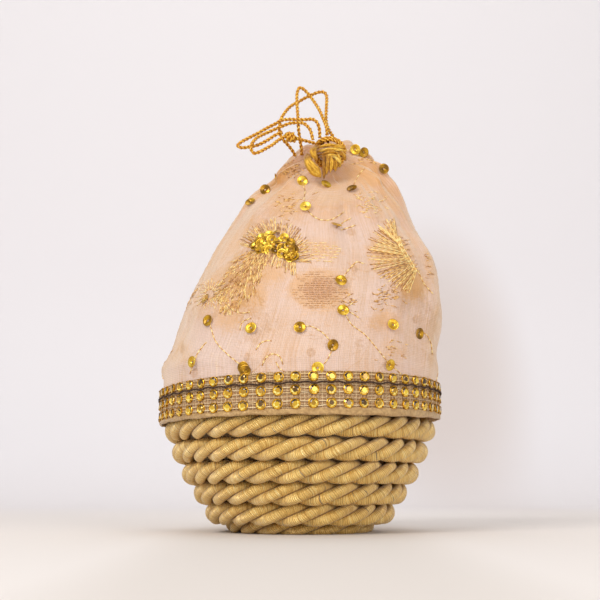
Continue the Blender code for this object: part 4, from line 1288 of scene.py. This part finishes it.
def makeFrill(s):
    heap = Heap()
    forward = np.array(s["forward"])
    count, turn = s["across"], np.pi * s["round"]
    angle = np.linspace(-turn, turn, count)[:, None]
    for root, middle, tip, width, swell, tone in s["folds"]:
        path = smoothPath([atDepth(*root), atDepth(*middle), atDepth(*tip)], s["step"])
        path = path[np.linspace(0, len(path) - 1, s["rows"]).astype(int)]
        walked = lengthsAlong(path)
        t = (walked / walked[-1])[:, None, None]
        side = unit(np.cross(np.gradient(path, axis=0), forward))
        belly = s["least"] + (1 - s["least"]) * np.sin(np.pi * np.clip(t * 0.86 + 0.02, 0, 1)) ** 0.8
        point = ((t - s["tipFrom"]) / (1 - s["tipFrom"])).clip(0)
        half = width / 2 * belly * np.sqrt(np.clip(1 - point ** 2 * 0.96, 0, 1))
        half = half * (1 + 0.1 * np.sin(9 * t + 40 * tone))
        rise = (np.cos(angle) - 0.1) * swell * np.sin(np.pi * np.clip(t, 0.03, 0.97))
        ripple = 0.14 * np.sin(angle * 7) * t + 0.16 * np.sin(angle * 3 + 5) * np.sin(14 * t + 30 * tone)
        points = path[:, None] + side[:, None] * half * np.sin(angle) + forward * (rise + ripple)
        faces = [(i * count + j, i * count + j + 1, (i + 1) * count + j + 1, (i + 1) * count + j)
                 for i in range(s["rows"] - 1) for j in range(count - 1)]
        layout = [(walked[n // count], (n % count) * width / count) for face in faces for n in face]
        heap.add(points.reshape(-1, 3), faces, tone, layout)
    settle(heap.make("gold_border_frill", frillPaint()), "gilt_cord", "pouch")


makeWinding(neckSet)
makeFrill(frillSet)
print("neck made")


# Floor, backdrop and soft lights

# shadeAt: pixel of the photograph; lengths in metres; middle: squares of the distances aside where the
# floor changes from its middle colour to that of its sides
stageSet = {"floor": (217, 210, 204), "wall": (234, 231, 234), "sides": (229, 223, 219),
            "shade": (216, 206, 202), "shadeAt": (425, 370), "shadeReach": (0.14, 0.22), "reach": 3.0,
            "back": 0.55, "bend": 0.3, "rise": 2.2, "bends": 12, "fadeFrom": 0.1, "middle": (0.0004, 0.003)}


def makeBackdrop(s):
    # floor that curves up into a wall behind the bag
    profile = [(-s["reach"], 0.0), (s["back"], 0.0)]
    for step in range(1, s["bends"] + 1):
        a = math.radians(90 * step / s["bends"])
        profile.append((s["back"] + s["bend"] * math.sin(a), s["bend"] * (1 - math.cos(a))))
    profile.append((s["back"] + s["bend"], s["rise"]))
    points = [(x / mm, y / mm, z / mm) for x in (-s["reach"], s["reach"]) for y, z in profile]
    count = len(profile)
    faces = [(i, i + 1, count + i + 1, count + i) for i in range(count - 1)]
    paint = Paint("backdrop", Specular_IOR_Level=0.1)
    across, depth, height = paint.axes(paint.scaled(paint.place(), (mm, mm, mm)))
    fade = (depth + height).span(s["fadeFrom"], s["back"] + s["bend"])
    grain = paint.noise(0.02, 2.0)
    # a soft shade on the wall, to the right of the bag
    eye, ray = sight(*s["shadeAt"])
    middle = eye + ray * ((s["back"] + s["bend"] - eye.y) / ray.y)
    wide, high = s["shadeReach"]
    aside, above = (across - middle.x) / wide, (height - middle.z) / high
    beside = (aside * aside + above * above).span(1.0, 0.0)
    wall = paint.mix(beside, s["wall"], s["shade"])
    # painted light: the floor's sides are lighter than its middle, lifting the shade on the floor beside the
    # bag
    floor = paint.mix((across * across).span(*s["middle"]), s["floor"], s["sides"])
    paint.set(Base_Color=paint.mix(fade, floor, wall), Roughness=0.85 + grain * 0.1)
    makeMesh("backdrop", points, faces, paint)


# lamps: place in metres, size, watts
lightSet = {"sky": 0.5, "skyColour": (1.0, 0.985, 0.975, 1.0), "lampColour": (1.0, 0.985, 0.965),
            "aim": (0, 0, 0.08), "lamps": [((-0.75, -1.1, 0.85), 0.7, 13.0), ((0.8, -1.1, 0.4), 0.9, 7.5),
                                           ((0.0, 0.1, 1.5), 1.2, 4.5)]}


def makeLights(s):
    world = bpy.data.worlds.new("softSky")
    world.use_nodes = True
    sky = world.node_tree.nodes["Background"].inputs
    sky["Color"].default_value, sky["Strength"].default_value = s["skyColour"], s["sky"]
    bpy.context.scene.world = world
    for number, (place, size, watts) in enumerate(s["lamps"], 1):
        data = bpy.data.lights.new(f"softbox{number}", "AREA")
        data.size, data.energy, data.color = size, watts, s["lampColour"]
        lamp = bpy.data.objects.new(f"softbox{number}", data)
        lamp.location = place
        lamp.rotation_euler = (Vector(s["aim"]) - Vector(place)).to_track_quat("-Z", "Y").to_euler()
        bpy.context.collection.objects.link(lamp)


makeBackdrop(stageSet)
makeLights(lightSet)
bpy.context.scene.view_settings.view_transform = "Standard"
print("stage made")
